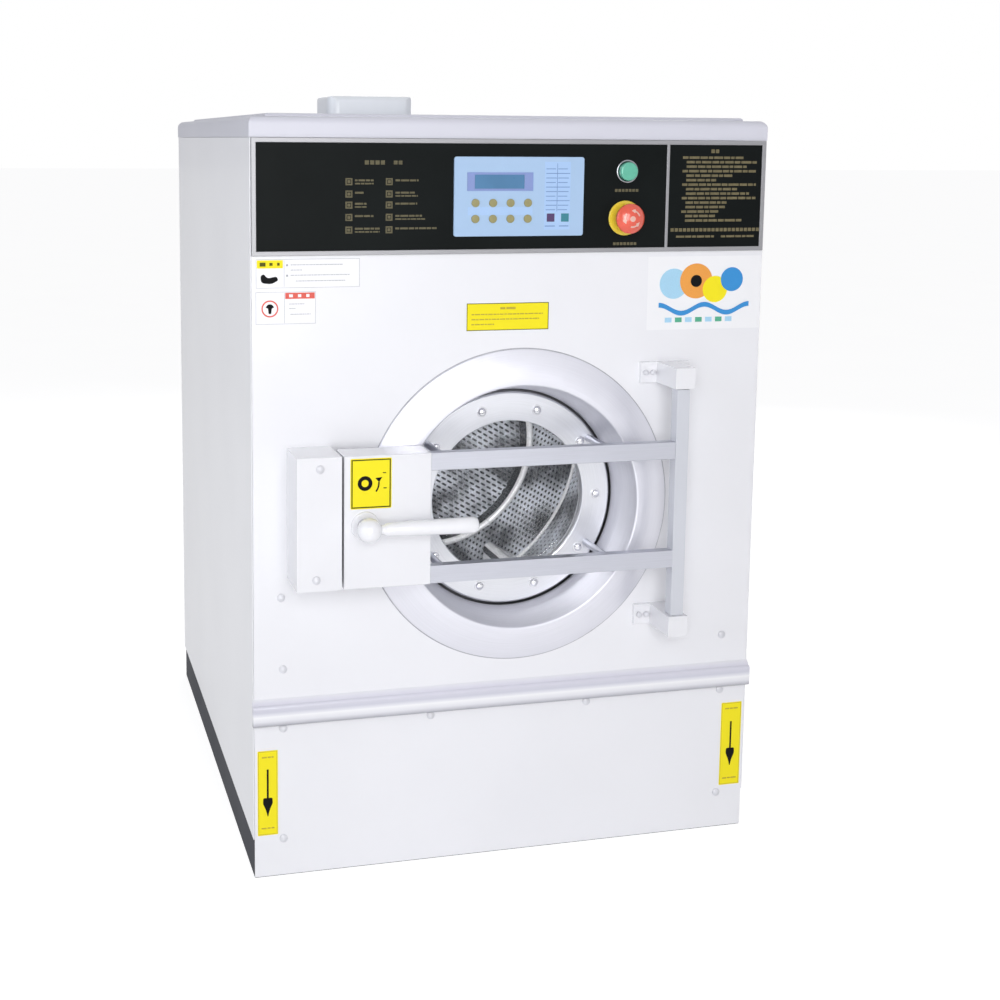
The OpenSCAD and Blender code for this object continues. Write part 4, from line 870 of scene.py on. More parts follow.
@dataclass
class ControlPanel:
    """Fascia with its frame, keypad, display, keys and two buttons.

    columns holds for each column of marks the mark's middle, where its rows start and where each one ends.
    """

    frame_edge: float = 0.6
    keypad_edge: float = 0.4
    head_crease: float = 50.0
    fascia_y: float = -3.0
    keypad_y: float = -7.0
    film: float = 0.15
    start: Pair = (183.0, 1137.6)
    stop: Pair = (181.0, 1062.6)
    head_front: float = -38.0
    head_radius: float = 34.0
    head_film: Pair = (0.12, -0.2)
    rows: Tuple[float, ...] = (1121.0, 1102.0, 1085.0, 1066.0, 1046.5)
    columns: Tuple[Tuple[float, float, Tuple[float, ...]], ...] = (
        (-276.0, -266.5, (-237.0, -247.0, -248.0, -232.0, -227.0)),
        (-212.0, -202.0, (-165.0, -166.0, -167.0, -154.0, -135.0)))
    sign: Tuple[Box, ...] = ((-5.5, -5.5, 5.5, -3.3), (-5.5, 3.3, 5.5, 5.5), (-5.5, -3.3, -3.4, 3.3),
                             (3.4, -3.3, 5.5, 3.3), (-2.4, -2.3, 2.4, 2.3))
    notice_ends: Tuple[float, ...] = (391.0, 412.0, 394.0, 411.0, 372.0, 340.0, 412.0, 378.0, 400.0, 412.0,
                                      360.0, 359.0, 347.0, 341.0, 388.0)

    def build(self) -> None:
        """Makes the frame, the prints and the buttons."""
        surface_all("cabinet", ("fascia_frame", "trim_silver", TRIM, self.frame_edge),
                    ("keypad_module", "keypad_blue", KEYPAD, self.keypad_edge))
        for node in [f"key_{i}" for i in range(1, 9)]:
            surfaced(node, node, "key_olive", KEY)
        surfaced("start_button", "start", "start_green", GREEN)
        surfaced("estop_collar", "cabinet", "collar_yellow", COLLAR)
        surfaced("estop_stem", "estop_push", "stem_grey", STEM)
        surfaced("estop_head", "estop_knob", "stop_red", RED, crease=self.head_crease)
        self.print_boxes("legend_print", self.legends(), self.fascia_y, GOLD_INK)
        self.print_boxes("notice_print", self.notice(), self.fascia_y, NOTICE_INK)
        self.print_keypad()
        self.trim_buttons()

    def print_boxes(self, name: str, boxes: Sequence[Point], back: float, finish: Finish) -> None:
        """Prints boxes on a surface that lies at a distance behind the front panel."""
        build(name, tiles(boxes, back - self.film, back), "cabinet", finish)

    def legends(self) -> np.ndarray:
        """The two columns of marks at the left, their heading and the captions of the buttons."""
        boxes = [blocks(-251, -214, 1150.5, 6.5), blocks(-205, -186, 1150.5, 6.0),
                 blocks(163, 205, 1107, 4.6), blocks(162, 204, 1021, 4.6)]
        for column, (x, start, ends) in enumerate(self.columns):
            for number, (z, end) in enumerate(zip(self.rows, ends)):
                boxes.append(dashes(start, end - 5.0 * (number % 2), z + 2.0, 3.0, number * 3 + column))
                if number % 2 == column:
                    boxes.append(dashes(start, end, z - 3.0, 2.4, number * 5 + column + 2))
                boxes.append(np.add(self.sign, (x, z, x, z)))
        return np.vstack(boxes)

    def notice(self) -> np.ndarray:
        """The rows of bars in the right field."""
        boxes = [blocks(330, 348, 1170.5, 6.0)]
        for number, end in enumerate(self.notice_ends):
            start = 287.0 if number % 3 else 280.0
            boxes.append(dashes(start, end, 1160.0 - number * 7.3, 4.0, number + 1))
        return np.vstack(boxes + [blocks(262, 420, 1042.5, 5.6), dashes(272, 340, 1031.5, 3.4, 9),
                                  dashes(352, 414, 1031.5, 3.4, 4)])

    def print_keypad(self) -> None:
        """Prints the keypad's bands, lines and marks."""
        face, top = self.keypad_y, self.keypad_y - self.film
        scale = [(44.0 + 20.0 * side, 1076.0 + 7.2 * i, 60.0 + 20.0 * side + 2.0 * (i % 3), 1077.1 + 7.2 * i)
                 for side in (0, 1) for i in range(10)]
        scale += [(62.4, 1074.0, 63.2, 1150.0), (43.0, 1050.0, 60.0, 1051.4), (67.0, 1050.0, 83.0, 1051.4)]
        bezel = [(-87.0, 1106.6, 22.6, 1110.0), (-87.0, 1132.2, 22.6, 1135.7), (-87.0, 1110.0, -74.2, 1132.2),
                 (8.2, 1110.0, 22.6, 1132.2)]
        for name, boxes, back, finish in (
                ("keypad_band", [(-85.5, 1068.5, 22.0, 1081.5)], face, KEYPAD_BAND),
                ("keypad_column", [(41.5, 1045.0, 85.0, 1152.5)], face, KEYPAD_BAND),
                ("keypad_marks", scale, top, KEYPAD_LINE),
                ("purple_mark", [(46.1, 1057.6, 59.1, 1070.6)], top, KEY_PURPLE),
                ("teal_mark", [(70.2, 1057.6, 83.2, 1070.6)], top, KEY_TEAL),
                ("display_bezel", bezel, face + 1, BEZEL)):
            self.print_boxes(name, boxes, back, finish)

    def trim_buttons(self) -> None:
        """Adds the start button's bezel, the turning arrows on the red head and a pale disc of painted
        highlight at the head's middle.
        """
        bezel = eased([(15.4, -3.0), (15.4, -6.0), (18.5, -6.0), (19.2, -3.0)], 1.4, closed=True)
        ring = revolve(bezel, self.start, steps=64, closed=True)
        build("start_bezel", ring, "cabinet", CHROME)
        arrows = joined(self.head_arrow(turn) for turn in (20.0, 140.0, 260.0))
        # A pale disc at the head's middle: painted highlight on the dome.
        disc = self.on_head(np.linspace(0.0, 4.6, 5)[:, None], np.linspace(0, 360, 25))
        for name, film in (("stop_arrows", arrows), ("stop_painted_highlight", disc)):
            build(name, film, "estop_knob", PALE_RED)

    def on_head(self, radius: np.ndarray, degrees: np.ndarray) -> Shell:
        """Closed film over the head's dome, above and below it: depth = front + R - (R^2 - r^2)^0.5."""
        x, z = around(self.stop, radius, np.radians(degrees))
        layers = []
        for lift in self.head_film:
            sag = self.head_radius - np.sqrt((self.head_radius + lift) ** 2 - radius ** 2)
            layers.append(placed(x, self.head_front + sag, z))
        edge = [np.vstack([layer[-1], layer[0, ::-1]]) for layer in layers]
        return grid(layers[0]) + grid(layers[1]) + grid(np.stack(edge), wrap_columns=True)

    def head_arrow(self, turn: float) -> Shell:
        """One curved arrow: a band of a fifth of a turn and a wider tip that closes to a point."""
        along = np.linspace(0, 1, 15)
        half = np.where(along < 0.62, 1.3, 3.6 * (1 - along) / 0.38)
        return self.on_head(13.0 + np.linspace(-1, 1, 3)[:, None] * half, turn + along * 78.0)

    def dress(self) -> None:
        """Finishes the fascia and the display."""
        dress(FASCIA, "control_fascia")
        dress(DISPLAY, "lcd_window")


@dataclass
class Label:
    """A film label: its plate, and prints on it.

    box is x0, z0, x1 and z1, face the surface it is stuck to, and edge the inset, width and finish of the
    line round it. Prints are placed from the lower left corner, and where a value is negative from the
    upper right one. Each layer of print lies a step above the one before.
    """

    name: str
    box: Box
    plate: Finish
    edge: Optional[Tuple[float, float, Finish]] = None
    radius: float = 2.5
    body: str = "cabinet"
    slot: str = "cabinet_paint"
    face: float = 0.0
    thick: float = 0.25
    step: float = 0.1

    def build(self) -> "Label":
        """Makes the plate and the line round it."""
        outline = field_outline(self.box, self.radius)
        build(self.name, slab(outline, self.face - self.thick, self.face), self.body, self.plate)
        if self.edge:
            low, width, finish = self.edge
            wide, high = self.size
            x, z = wide - low, high - low
            self.bars("edge", finish, [
                (low, low, x, low + width), (low, z - width, x, z),
                (low, low + width, low + width, z - width), (x - width, low + width, x, z - width)])
        return self

    @property
    def size(self) -> Pair:
        """Width and height."""
        return self.box[2] - self.box[0], self.box[3] - self.box[1]

    def at(self, rows: Sequence[Point]) -> np.ndarray:
        """Rows of coordinates, from the label's corners to the cabinet's."""
        given = np.asarray(rows, float)
        low, high = (np.resize(corner, given.shape[1]) for corner in (self.box[:2], self.box[2:]))
        return given + np.where(given < 0, high, low)

    def levels(self, layer: int) -> Pair:
        """Front and back of a layer of print."""
        front = self.face - self.thick - self.step * layer
        return front, front + self.step

    def mark(self, part: str, finish: Finish, outlines: Sequence[Sequence[Point]], layer: int = 1) -> None:
        """Prints outlines on the plate."""
        shell = joined(slab(self.at(outline), *self.levels(layer)) for outline in outlines)
        build(f"{self.name}_{part}", shell, self.body, finish)

    def bars(self, part: str, finish: Finish, boxes: Sequence[Point], layer: int = 1) -> None:
        """Prints rectangles on the plate."""
        build(f"{self.name}_{part}", tiles(self.at(boxes), *self.levels(layer)), self.body, finish)


@dataclass
class Labels:
    """Plain labels on the front, with fields, bars and simple marks on them."""

    wide: Box = (-421.0, 958.0, -258.0, 1002.5)
    small: Box = (-421.5, 902.0, -327.7, 952.0)
    middle: Box = (-83.0, 884.0, 55.0, 928.0)
    picture: Box = (226.0, 878.0, 428.0, 999.0)
    left_arrow: Box = (-423.0, 72.0, -390.0, 214.5)
    right_arrow: Box = (386.0, 76.0, 424.0, 225.0)

    def build(self) -> None:
        """Makes every label."""
        self.build_wide()
        self.build_small()
        self.build_middle()
        self.build_picture()
        for side, box in (("left", self.left_arrow), ("right", self.right_arrow)):
            self.build_arrow(f"{side}_arrow_label", box)

    def build_wide(self) -> None:
        """White label with a yellow field at its left end and rows of bars."""
        label = Label("wide_label", self.wide, PAPER, (0.0, 0.7, PALE_INK)).build()
        label.bars("field", YELLOW, [(1.5, -14, 42, -1.5)])
        label.bars("field_marks", OLIVE, [(6, -11, 15, -5), (21, -10, 26, -5.5), (33, -10, 37, -5.5)], 2)
        blot = [(8, 8), (24, 6), (35, 12), (32, 18), (18, 15), (12, 22), (7, 19)]
        label.mark("blot", BLACK_INK, [eased(blot, 5, True)])
        label.bars("line", PALE_INK, [(43.5, 1.5, 44.2, -1.5)])
        label.bars("rows", PALE_INK, np.vstack([
            dashes(54, 136, -9, 1.3, 1), dashes(54, 72, -17, 1.3, 2), dashes(54, 148, -25, 1.3, 3),
            dashes(62, 140, -34, 1.3, 4)]))
        label.bars("dots", GREY_INK, [(47, -11, 50, -8), (47, -27, 50, -24)])

    def build_small(self) -> None:
        """White label with a plain red ring at its left and a red field over rows of bars."""
        label = Label("small_label", self.small, PAPER, (0.0, 0.7, PALE_INK)).build()
        label.mark("ring", RED_INK, ring_quarters((22, 24), 11.0, 13.2))
        dot = [(15, 26), (19, 31), (25, 31), (29, 26), (25, 25), (24, 16), (20, 16), (19, 25)]
        label.mark("dot", BLACK_INK, [eased(dot, 2, True)])
        label.bars("field", RED_INK, [(46, -11, -1.5, -1.5)])
        label.bars("field_marks", PAPER, [(52, -8.5, 58, -4), (66, -8.5, 71, -4), (79, -8.5, 84, -4)], 2)
        label.bars("line", PALE_INK, [(44.4, 1.5, 45.1, -1.5)])
        label.bars("rows", PALE_INK, np.vstack([
            dashes(52, 76, -19, 1.2, 1), dashes(52, 62, -26, 1.2, 2), dashes(54, 86, -35, 1.2, 3)]))

    def build_middle(self) -> None:
        """Yellow label with a dark edge and pale rows."""
        label = Label("middle_label", self.middle, YELLOW, (0.0, 1.2, OLIVE)).build()
        label.bars("rows", DARK_YELLOW, np.vstack([
            dashes(56, 82, -8.5, 3.6, 4), dashes(8, 128, -18, 2.0, 1), dashes(8, 122, -26, 2.0, 5),
            dashes(8, 46, -34, 2.0, 7)]))

    def build_picture(self) -> None:
        """White label with a plain pattern of discs, a wave and tiles."""
        label = Label("picture_label", self.picture, PAPER, radius=1.0).build()
        angle = np.radians(np.linspace(0, 360, 49)[:-1])
        for layer, (part, x, z, radius, finish) in enumerate((
                ("pale_disc", 46, 76, 25, SKY_INK), ("orange_disc", 86, 80, 29, ORANGE),
                ("yellow_disc", 120, 66, 22, YELLOW), ("blue_disc", 150, 82, 20, BLUE_INK),
                ("dark_disc", 86, 80, 10, BLACK_INK)), 1):
            label.mark(part, finish, [np.column_stack(around((x, z), radius, angle))], layer)
        x = np.linspace(20, 182, 60)
        wave = 34 + 7 * np.sin(x / 162 * 4 * np.pi)
        ribbon = np.vstack([np.column_stack([x, wave + 4]), np.column_stack([x, wave - 4])[::-1]])
        label.mark("wave", BLUE_INK, [ribbon], 6)
        label.bars("blue_tiles", SKY_INK, [(32 + 36 * i, 12, 44 + 36 * i, 20) for i in range(4)])
        label.bars("green_tiles", GREEN_INK, [(50 + 36 * i, 12, 62 + 36 * i, 20) for i in range(3)])

    def build_arrow(self, name: str, box: Box) -> None:
        """Yellow label with an arrow that points down."""
        label = Label(name, box, YELLOW, (1.2, 0.8, DARK_YELLOW), 1.5).build()
        wide, middle = label.size[0], np.divide(label.size, 2)
        head = [(-7.5, -8), (7.5, -8), (8, -17), (3, -29), (0, -41), (-3, -29), (-8, -17)]
        label.mark("arrow", BLACK_INK, [
            middle + field_outline((-1.6, -9, 1.6, 40)), middle + eased(head, 2.5, True)])
        label.bars("rows", DARK_YELLOW, np.vstack([
            dashes(6, wide - 6, 12, 2.4, 2), dashes(7, wide - 7, -11, 2.4, 5)]))


@dataclass
class DoorFrame:
    """Pressed ring around the door, with the seal behind it and a grey bead of painted shadow at its foot."""

    edge: float = 1.2
    crease: float = 20.0
    radius: float = (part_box("door_surround")[1].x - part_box("door_surround")[0].x) * MM / 2

    def build(self) -> None:
        """Makes the ring's smooth surface, the bead of painted shadow and the seal."""
        surfaced("door_surround", "cabinet", "surround_silver", RING, self.edge, self.crease)
        # A grey bead at the ring's foot: painted shadow.
        section = np.add([(-0.5, -0.1), (1.7, -0.1), (1.2, -0.7), (-0.5, -1.0)], (self.radius, 0.0))
        bead = revolve(section, closed=True, steps=160)
        build("surround_painted_shadow", bead, "cabinet", PAINTED_SHADOW_LINE)
        surfaced("door_gasket", "cabinet", "seal_rubber", RUBBER)


@dataclass
class DoorLeaf:
    """Steel disc with its dome bolts, the glass bowl and the clamp behind it."""

    edge: float = 0.8
    crease: float = 20.0
    bolt_ring: float = 155.0
    bolts: int = 10
    disc_front: float = 52.0
    head_radius: float = 7.0
    flange_radius: float = 8.6
    head_height: float = 5.4

    def bolt(self, turn: float) -> Shell:
        """Dome bolt: a flat flange and a dome, distance = height * cos(s), radius = head * sin(s)."""
        s = np.linspace(0, np.pi / 2, 9)
        dome = np.column_stack([self.head_radius * np.sin(s), -1.1 - (self.head_height - 1.1) * np.cos(s)])
        rim = self.flange_radius
        flange = [(rim - 0.4, -1.1), (rim, -0.7), (rim, 0.6), (0.0, 0.6)]
        middle = around(DOOR_AXIS, self.bolt_ring, turn)
        return revolve(np.vstack([dome, flange]), middle, self.disc_front, 28)

    def build(self) -> None:
        """Makes the disc, its bolts, the glass and the clamp."""
        surfaced("door_disc", "door", "door_steel", DISC, self.edge, self.crease)
        domes = joined(self.bolt(turn) for turn in even_turns(self.bolts))
        build("door_bolt_domes", domes, "door", BOLT, ("door_bolts",))
        surface_all("door", ("door_glass", "door_glass", GLASS), ("glass_clamp", "door_steel", DISC),
                    ("glass_seal", "seal_rubber", SILICONE))


@dataclass
class Carrier:
    """Arms, hinge post and brackets that carry the door."""

    arm_edge: float = 1.0
    post_edge: float = 1.6
    bracket_edge: float = 1.5

    def build(self) -> None:
        """Makes their surfaces with soft edges."""
        places = ("upper", "lower")
        surface_all("door", *((f"{place}_arm", "arm_steel", ARM, self.arm_edge) for place in places),
                    # The hinge post is a darker copy of the hardware paint: painted shade.
                    ("hinge_post", "door_hardware_paint", POST_PAINTED_SHADE, self.post_edge))
        surface_all("cabinet", *((f"{place}_bracket", "door_hardware_paint", GLOSS_WHITE, self.bracket_edge)
                                 for place in places))


@dataclass
class Latch:
    """Latch box with its lever and label, and the keeper on the cabinet."""

    edge: float = 2.2
    crease: float = 40.0
    face: float = -86.0
    label: Box = (-291.0, 624.0, -226.0, 703.0)
    ring: Pair = (23.0, 40.0)

    def build(self) -> None:
        """Makes the boxes, the lever and the label."""
        paint = "door_hardware_paint"
        surfaced("latch_box", "door", paint, GLOSS_WHITE, self.edge)
        surfaced("latch_keeper", "cabinet", paint, GLOSS_WHITE, self.edge)
        surfaced("latch_lever", "lever", "lever_plastic", GRIP, crease=self.crease)
        label = Label("latch_label", self.label, YELLOW, (1.5, 2.0, OLIVE), body="door", slot=paint,
                      face=self.face).build()
        label.mark("ring", BLACK_INK, ring_quarters(self.ring, 5.6, 11.5))
        tip = np.add(self.ring, [(22, 1), (27, 9), (16, 8)])
        label.mark("turn", BLACK_INK, [arc_band(self.ring, 20.5, 23.0, -38, 4), tip])
        label.bars("rows", OLIVE, np.add(self.ring * 2, [(29, -9, 34, -7.4), (28, 15, 33, 16.6)]))

    def dress(self) -> None:
        """Finishes the bolt."""
        dress(SHAFT, "latch_bolt")


@dataclass(frozen=True)
class Opening:
    """Hole or slot of a perforated sheet.

    pitch is its spacing along and across the rows, half its half sizes, and square how square its corners
    are, from 1 for round ones.
    """

    pitch: Pair
    half: Pair
    square: float = 1.0


@dataclass
class DrumInside:
    """Perforated drum wall, its mouth, its back with a slotted middle, and the lifters, with painted shade,
    highlight and reflection in their colours.
    """

    inner: float = 310.0
    front: float = 102.0
    back: float = 540.0
    mouth: float = 165.0
    sheet: float = 2.0
    slope: float = -31.5
    wall_hole: Opening = Opening((11.5, 13.0), (3.6, 3.8))
    back_hole: Opening = Opening((8.2, 10.8), (2.7, 3.3))
    slot: Opening = Opening((14.2, 9.7), (5.8, 2.2), 0.5)
    middle: float = 187.0
    bead: float = 208.0
    bead_half: float = 6.5
    bead_rise: float = 6.0
    rim: float = 306.0
    hub: float = 30.2
    domes: int = 13
    dome_turn: float = -26.8
    dome_radius: float = 7.0
    lifter_turn: float = -61.0
    lifters: int = 3
    ridge: float = 253.0
    nose: float = 13.4
    flank_foot: Pair = (-10.0, -43.6)
    lifter_edge: float = 1.5
    lifter_crease: float = 25.0

    def cells(self, middles: np.ndarray, width: float, height: float,
              opening: Opening) -> Tuple[np.ndarray, np.ndarray]:
        """Square cells with an eight-sided hole in each.

        Hole = half sizes * sign and power of (cos a, sin a).

        Args:
            middles: Rows of the cells' middles in the plane.
            width: Cell size across.
            height: Cell size along.
            opening: Size and form of the hole.

        Returns:
            Points as cell by 24 by (across, along, depth), and the faces of them all.
        """
        angle = np.radians(np.arange(8) * 45.0)
        way = np.round(np.column_stack([np.cos(angle), np.sin(angle)]), 6)
        edge = np.sign(way) * (width / 2, height / 2)
        hole = np.sign(way) * np.abs(way) ** opening.square * opening.half
        one = np.column_stack([np.vstack([edge, hole, hole]), np.repeat([0.0, 0.0, self.sheet], 8)])
        points = np.repeat(one[None], len(middles), axis=0)
        points[:, :, :2] += middles[:, None, :]
        step = np.arange(8)
        after = (step + 1) % 8
        face = np.column_stack([step, after, after + 8, step + 8])
        return points, repeated(np.vstack([face, face + 8]), len(middles))

    def wall(self) -> Shell:
        """Cells rolled round the drum.

        x, z = centre + (inner + depth) * (cos a, sin a), where a = across / inner.
        """
        count = round(2 * math.pi * self.inner / self.wall_hole.pitch[0])
        rows = round((self.back - self.front) / self.wall_hole.pitch[1])
        width, height = 2 * math.pi * self.inner / count, (self.back - self.front) / rows
        column, row = np.meshgrid(np.arange(count), np.arange(rows))
        middles = np.column_stack([((column + 0.5 * (row % 2)) * width).ravel(),
                                   self.front + (row.ravel() + 0.5) * height])
        points, faces = self.cells(middles, width, height, self.wall_hole)
        x, z = around(DOOR_AXIS, self.inner + points[..., 2], points[..., 0] / self.inner)
        return Shell(placed(x, points[..., 1], z).reshape(-1, 3), [faces])

    def back_field(self, opening: Opening, low: float, high: float) -> Shell:
        """Cells on the back between two radii, in rows that slope, every second one half a pitch along.

        Points past a radius are drawn back to it.

        Args:
            opening: Size and form of the holes.
            low: Inner radius.
            high: Outer radius.

        Returns:
            The perforated field.
        """
        reach = math.ceil(high / min(opening.pitch)) + 1
        row, column = np.meshgrid(np.arange(-reach, reach + 1), np.arange(-reach, reach + 1))
        middles = np.column_stack([(column + 0.5 * (row % 2)).ravel(), row.ravel()]) * opening.pitch
        distance = np.hypot(*middles.T)
        middles = middles[(distance > low - 4) & (distance < high + 4)]
        points, faces = self.cells(middles, *opening.pitch, opening)
        across, along, depth = np.moveaxis(points, -1, 0)
        radius = np.clip(np.hypot(across, along), low, high)
        x, z = around(DOOR_AXIS, radius, np.arctan2(along, across) + math.radians(self.slope))
        return Shell(placed(x, self.back - 0.2 + depth, z).reshape(-1, 3), [faces])

    def flank(self, turn: float) -> Shell:
        """Near-black sheet of painted shade over one side of a lifter: its foot, its flat side and a quarter
        of its round nose.

        Point = centre + out * (cos turn, sin turn) + side * (-sin turn, cos turn).
        """
        nose = np.column_stack(around((self.ridge, 0.0), self.nose, np.radians(np.linspace(205, 270, 7))))
        near = np.vstack([nose, np.add(self.flank_foot, (self.inner, 0.0))])
        out, side = np.vstack([near, near[::-1] + (1.0, 0.7)]).T
        x = DOOR_AXIS[0] + out * math.cos(turn) - side * math.sin(turn)
        z = DOOR_AXIS[1] + out * math.sin(turn) + side * math.cos(turn)
        return slab(np.column_stack([x, z]), self.front + 14.0, self.back - 12.0)

    def dome(self, turn: float) -> Shell:
        """One dome on the bead: radius = r * sin(s), distance = -r * cos(s) from the back."""
        s = np.linspace(0, np.pi / 2, 7)
        profile = np.column_stack([self.dome_radius * np.sin(s), -self.dome_radius * np.cos(s)])
        middle = around(DOOR_AXIS, self.bead, turn)
        return revolve(np.vstack([profile, [(0.0, 0.5)]]), middle, self.back, 20)

    def put(self, part: str, shell: Shell, finish: Finish, replaces: Sequence[str] = (),
            outward: bool = True) -> None:
        """Fastens a piece to the drum."""
        build(f"drum_{part}", shell, "drum", finish, replaces, outward)

    def ring(self, part: str, origin: Point, corners: Sequence[Point], finish: Finish, ease: float = 0.0,
             steps: int = 96) -> None:
        """Fastens a turned ring to the drum, its section's corners as radius and depth from an origin."""
        section = np.add(origin, corners)
        if ease:
            section = eased(section, ease, closed=True)
        self.put(part, revolve(section, closed=True, steps=steps), finish)

    def build(self) -> None:
        """Makes the drum's pieces."""
        inner, front, back = self.inner, self.front, self.back
        # The wall and the front ring carry the drum steel's painted reflection.
        self.put("wall_perforated", self.wall(), DRUM_PAINTED_REFLECTION, ("drum_shell",), False)
        lip = self.mouth - inner
        self.ring("front_ring", (inner, front), [
            (2, 12), (2, -2), (lip, -2), (lip - 1.5, 3), (lip + 3, 6), (lip + 6, 0.5), (-8, 0.5), (0, 8),
            (0, 12)], DRUM_PAINTED_REFLECTION, 2.0)
        depth = back - front
        # Near-black ring just outside the wall: painted shade seen through the holes.
        self.ring("painted_shade_behind_holes", (inner, front), [(2, 10), (2, depth + 2), (2.4, depth + 2), (2.4, 10)], DRUM_PAINTED_SHADE)
        # The back's lattice and slots carry the back steel's painted reflection.
        lattice = self.back_field(self.back_hole, self.bead, self.rim)
        self.put("back_lattice", lattice, BACK_PAINTED_REFLECTION, ("drum_back",), False)
        self.put("back_slots", self.back_field(self.slot, 0.0, self.middle), BACK_PAINTED_REFLECTION, (), False)
        # The bead, its domes and the rim are near-white: painted highlight.
        s = np.linspace(-1, 1, 15)
        arch = np.column_stack([s * self.bead_half, 1.0 - (self.bead_rise + 1.0) * np.sqrt(1 - s ** 2)])
        self.ring("back_bead", (self.bead, back), arch, RIB_PAINTED_HIGHLIGHT, steps=128)
        domes = joined(self.dome(turn) for turn in even_turns(self.domes, self.dome_turn))
        self.put("back_domes", domes, RIB_PAINTED_HIGHLIGHT)
        edge = self.rim - inner - 1
        self.ring("back_rim", (inner, back), [(edge, 1.5), (edge, -0.6), (-1, -1), (-0.3, -5), (0, 1.5)], RIB_PAINTED_HIGHLIGHT,
                  1.0, 128)
        # The spider plate is near-black: painted shade seen through the slots and beside the bead.
        plate = [(self.hub, 4), (inner, 4), (inner, 9), (self.hub, 9)]
        self.ring("spider_plate", (0, back), plate, DRUM_PAINTED_SHADE, 1.0)
        # The lifters are near-white: painted highlight.
        surfaced("drum_lifters", "drum", "drum_steel", RIB_PAINTED_HIGHLIGHT, self.lifter_edge, self.lifter_crease)
        # Near-black sheets on one side of each lifter: painted shade.
        flank_shades = joined(self.flank(turn) for turn in even_turns(self.lifters, self.lifter_turn))
        self.put("lifter_painted_shade", flank_shades, DRUM_PAINTED_SHADE)

    def dress(self) -> None:
        """Finishes the shaft, the pulley and the tub."""
        surface_all("drum", ("main_shaft", "shaft_steel", SHAFT), ("drum_pulley", "housing_iron", IRON))
        surface_all("cabinet", ("outer_tub", "tub_steel", TUB), ("tub_front", "tub_steel", TUB))


@dataclass
class Drive:
    """Bearings, motor, belt and electrics behind the tub."""

    def build(self) -> None:
        """Makes their smooth surfaces."""
        surface_all("cabinet", ("bearing_housing", "housing_iron", IRON),
                    ("shaft_bearings", "bearing_steel", BEARING), ("motor", "motor_paint", MOTOR))
        surfaced("motor_rotor", "rotor", "shaft_steel", SHAFT)

    def dress(self) -> None:
        """Finishes the belt and the case."""
        dress(BELT, "drive_belt")
        dress(CASE, "inverter_box")


@dataclass
class Hopper:
    """Soap hopper and its lid on the top cover."""

    lid_edge: float = 1.2
    box_edge: float = 0.6

    def build(self) -> None:
        """Makes their surfaces with soft edges."""
        surfaced("soap_lid", "lid", "hopper_plastic", HOPPER, self.lid_edge)
        surfaced("soap_hopper", "cabinet", "hopper_plastic", HOPPER, self.box_edge)


@dataclass(frozen=True)
class Lamp:
    """A square soft lamp at place that looks at target, with its size in metres and its power in watts."""

    name: str
    place: Place
    target: Place
    size: float
    power: float
    colour: Colour = (1.0, 1.0, 1.0)

    def build(self) -> None:
        """Adds the lamp."""
        data = bpy.data.lights.new(self.name, "AREA")
        data.shape, data.size, data.energy, data.color = "SQUARE", self.size, self.power, self.colour
        made = bpy.data.objects.new(self.name, data)
        made.location = self.place
        made.rotation_euler = (Vector(self.target) - Vector(self.place)).to_track_quat("-Z", "Y").to_euler()
        made.visible_camera = made.visible_transmission = False
        bpy.context.scene.collection.objects.link(made)


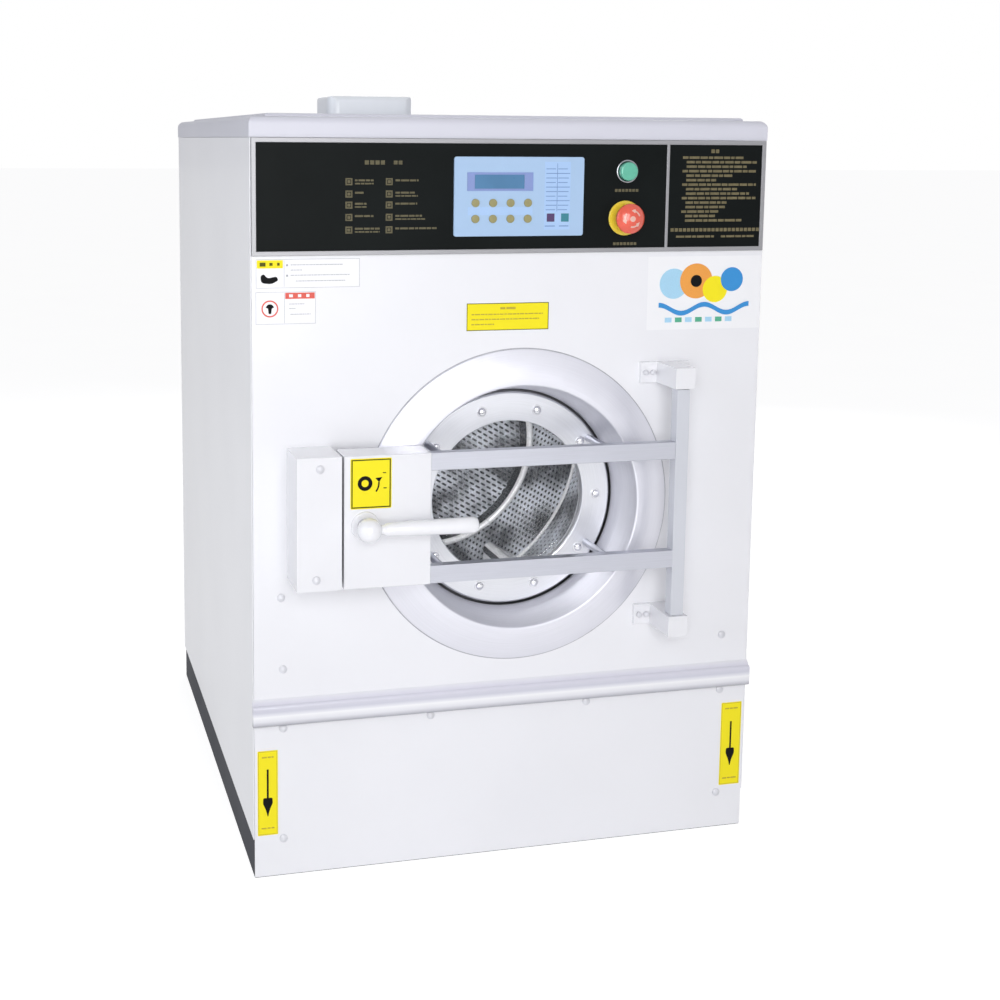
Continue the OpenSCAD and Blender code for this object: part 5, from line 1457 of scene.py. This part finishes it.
@dataclass
class Studio:
    """Camera, lamps, floor and background.

    The camera was fitted to fixed edges of the cabinet, the door and the control panel.
    """

    lens: float = 55.0
    sensor: float = 36.0
    shift: Pair = (0.10, -0.15)
    eye: Place = (-0.787, -2.805, 1.184)
    yaw: float = 14.41
    pitch: float = 7.80
    roll: float = 0.40
    ambient: float = 0.40
    reach: float = 60.0
    lamps: Tuple[Lamp, ...] = (
        Lamp("key_lamp", (-0.7, -3.7, 1.4), (0.0, -0.4, 0.6), 2.2, 73.0),
        Lamp("fill_lamp", (-2.9, -1.4, 1.8), (0.0, -0.1, 0.6), 2.0, 23.0, (0.88, 0.93, 1.0)),
        Lamp("drum_lamp", (-0.06, -0.34, 0.70), (0.14, 0.05, 0.48), 0.12, 1.25),
        Lamp("top_lamp", (0.3, 0.3, 3.4), (0.0, 0.0, 0.8), 2.4, 7.0),
        Lamp("rear_lamp", (1.4, 3.4, 1.7), (0.0, 0.3, 0.6), 2.2, 30.0))

    def build(self) -> None:
        """Sets up the whole studio."""
        bpy.context.scene.view_settings.view_transform = "Standard"
        self.set_camera()
        for lamp in self.lamps:
            lamp.build()
        self.set_world()
        self.set_floor()

    def set_camera(self) -> None:
        """Places the camera.

        Forward = (sin yaw cos pitch, cos yaw cos pitch, -sin pitch), right = (cos yaw, -sin yaw, 0), and
        both cross directions are then turned by the roll.
        """
        yaw, pitch, roll = (math.radians(angle) for angle in (self.yaw, self.pitch, self.roll))
        forward = Vector((math.sin(yaw) * math.cos(pitch), math.cos(yaw) * math.cos(pitch), -math.sin(pitch)))
        right = Vector((math.cos(yaw), -math.sin(yaw), 0.0))
        up = right.cross(forward)
        turned_right = right * math.cos(roll) + up * math.sin(roll)
        turned_up = up * math.cos(roll) - right * math.sin(roll)
        data = bpy.data.cameras.new("photo_camera")
        data.lens, data.sensor_width = self.lens, self.sensor
        data.shift_x, data.shift_y = self.shift
        camera = bpy.data.objects.new("photo_camera", data)
        camera.matrix_world = Matrix.Translation(self.eye) @ Matrix(
            (turned_right, turned_up, -forward)).transposed().to_4x4()
        bpy.context.scene.collection.objects.link(camera)
        bpy.context.scene.camera = camera

    def set_world(self) -> None:
        """Gives the world a soft light, white to the camera and through glass, and a gradient to gloss.

        Diffuse light is weaker from above and from the left. Gloss sees 0.6 at the left, rising to 1 at the
        right.
        """
        world = bpy.data.worlds.new("studio")
        world.use_nodes = True
        bpy.context.scene.world = world
        sheet = Sheet(world.node_tree)
        camera, glossy, through = sheet.rays()
        right, _, rise = sheet.split(sheet.term("ShaderNodeTexCoord", output="Generated"))
        even = sheet.spread(0.5 * right - 0.6 * rise, -1.0, 1.0, self.ambient - 0.2, self.ambient + 0.2)
        bright = sheet.spread(right + 0.3 * rise, -0.9, 0.5, 0.6, 1.0)
        plain, white, gloss = (
            sheet.term("ShaderNodeBackground", inputs={0: colour, 1: strength})
            for colour, strength in (
                ((0.96, 0.96, 1.0), even), ((1.0, 1.0, 1.0), 1.0), ((0.97, 0.97, 1.0), bright)))
        seen = sheet.mixed(sheet.math("MAXIMUM", camera, through), plain, white)
        sheet.node("ShaderNodeOutputWorld", inputs={"Surface": sheet.mixed(glossy, seen, gloss)})

    def set_floor(self) -> None:
        """Lays a pale floor that is white to the camera where nothing shades it."""
        mesh = bpy.data.meshes.new("studio_floor")
        corners = [(x * self.reach, y * self.reach, 0) for x, y in ((-1, -1), (1, -1), (1, 1), (-1, 1))]
        mesh.from_pydata(corners, [], [(0, 1, 2, 3)])
        material = bpy.data.materials.new("studio_floor")
        material.use_nodes = True
        sheet = Sheet(material.node_tree)
        camera, glossy, through = sheet.rays()
        seen = sheet.math("MAXIMUM", camera, sheet.math("MAXIMUM", glossy, through))
        mottle = sheet.spread(sheet.noise(2.0, 4.0), 0.3, 0.7)
        tone = sheet.blend(mottle, (0.36, 0.36, 0.365), (0.38, 0.38, 0.38))
        pale, real = (sheet.term("ShaderNodeBsdfDiffuse", inputs={"Color": colour})
                      for colour in (tone, (0.80, 0.80, 0.81)))
        glow = sheet.term("ShaderNodeEmission", inputs={"Color": (1.0, 1.0, 1.0), "Strength": 0.85})
        white = sheet.term("ShaderNodeAddShader", inputs={0: pale, 1: glow})
        sheet.node("ShaderNodeOutputMaterial", inputs={"Surface": sheet.mixed(seen, real, white)})
        mesh.materials.append(material)
        floor = bpy.data.objects.new("studio_floor", mesh)
        bpy.context.scene.collection.objects.link(floor)


def main() -> None:
    """Builds each sub-assembly in turn, then the studio."""
    logging.basicConfig(level=logging.INFO, format="%(name)s: %(message)s")
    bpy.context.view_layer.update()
    for assembly in (Cabinet(), Rear(), ControlPanel(), Labels(), DoorFrame(), DoorLeaf(), Carrier(), Latch(),
                     DrumInside(), Drive(), Hopper()):
        log.info("building %s", type(assembly).__name__)
        assembly.build()
        if hasattr(assembly, "dress"):
            assembly.dress()
    Studio().build()


if __name__ == "__main__":
    main()
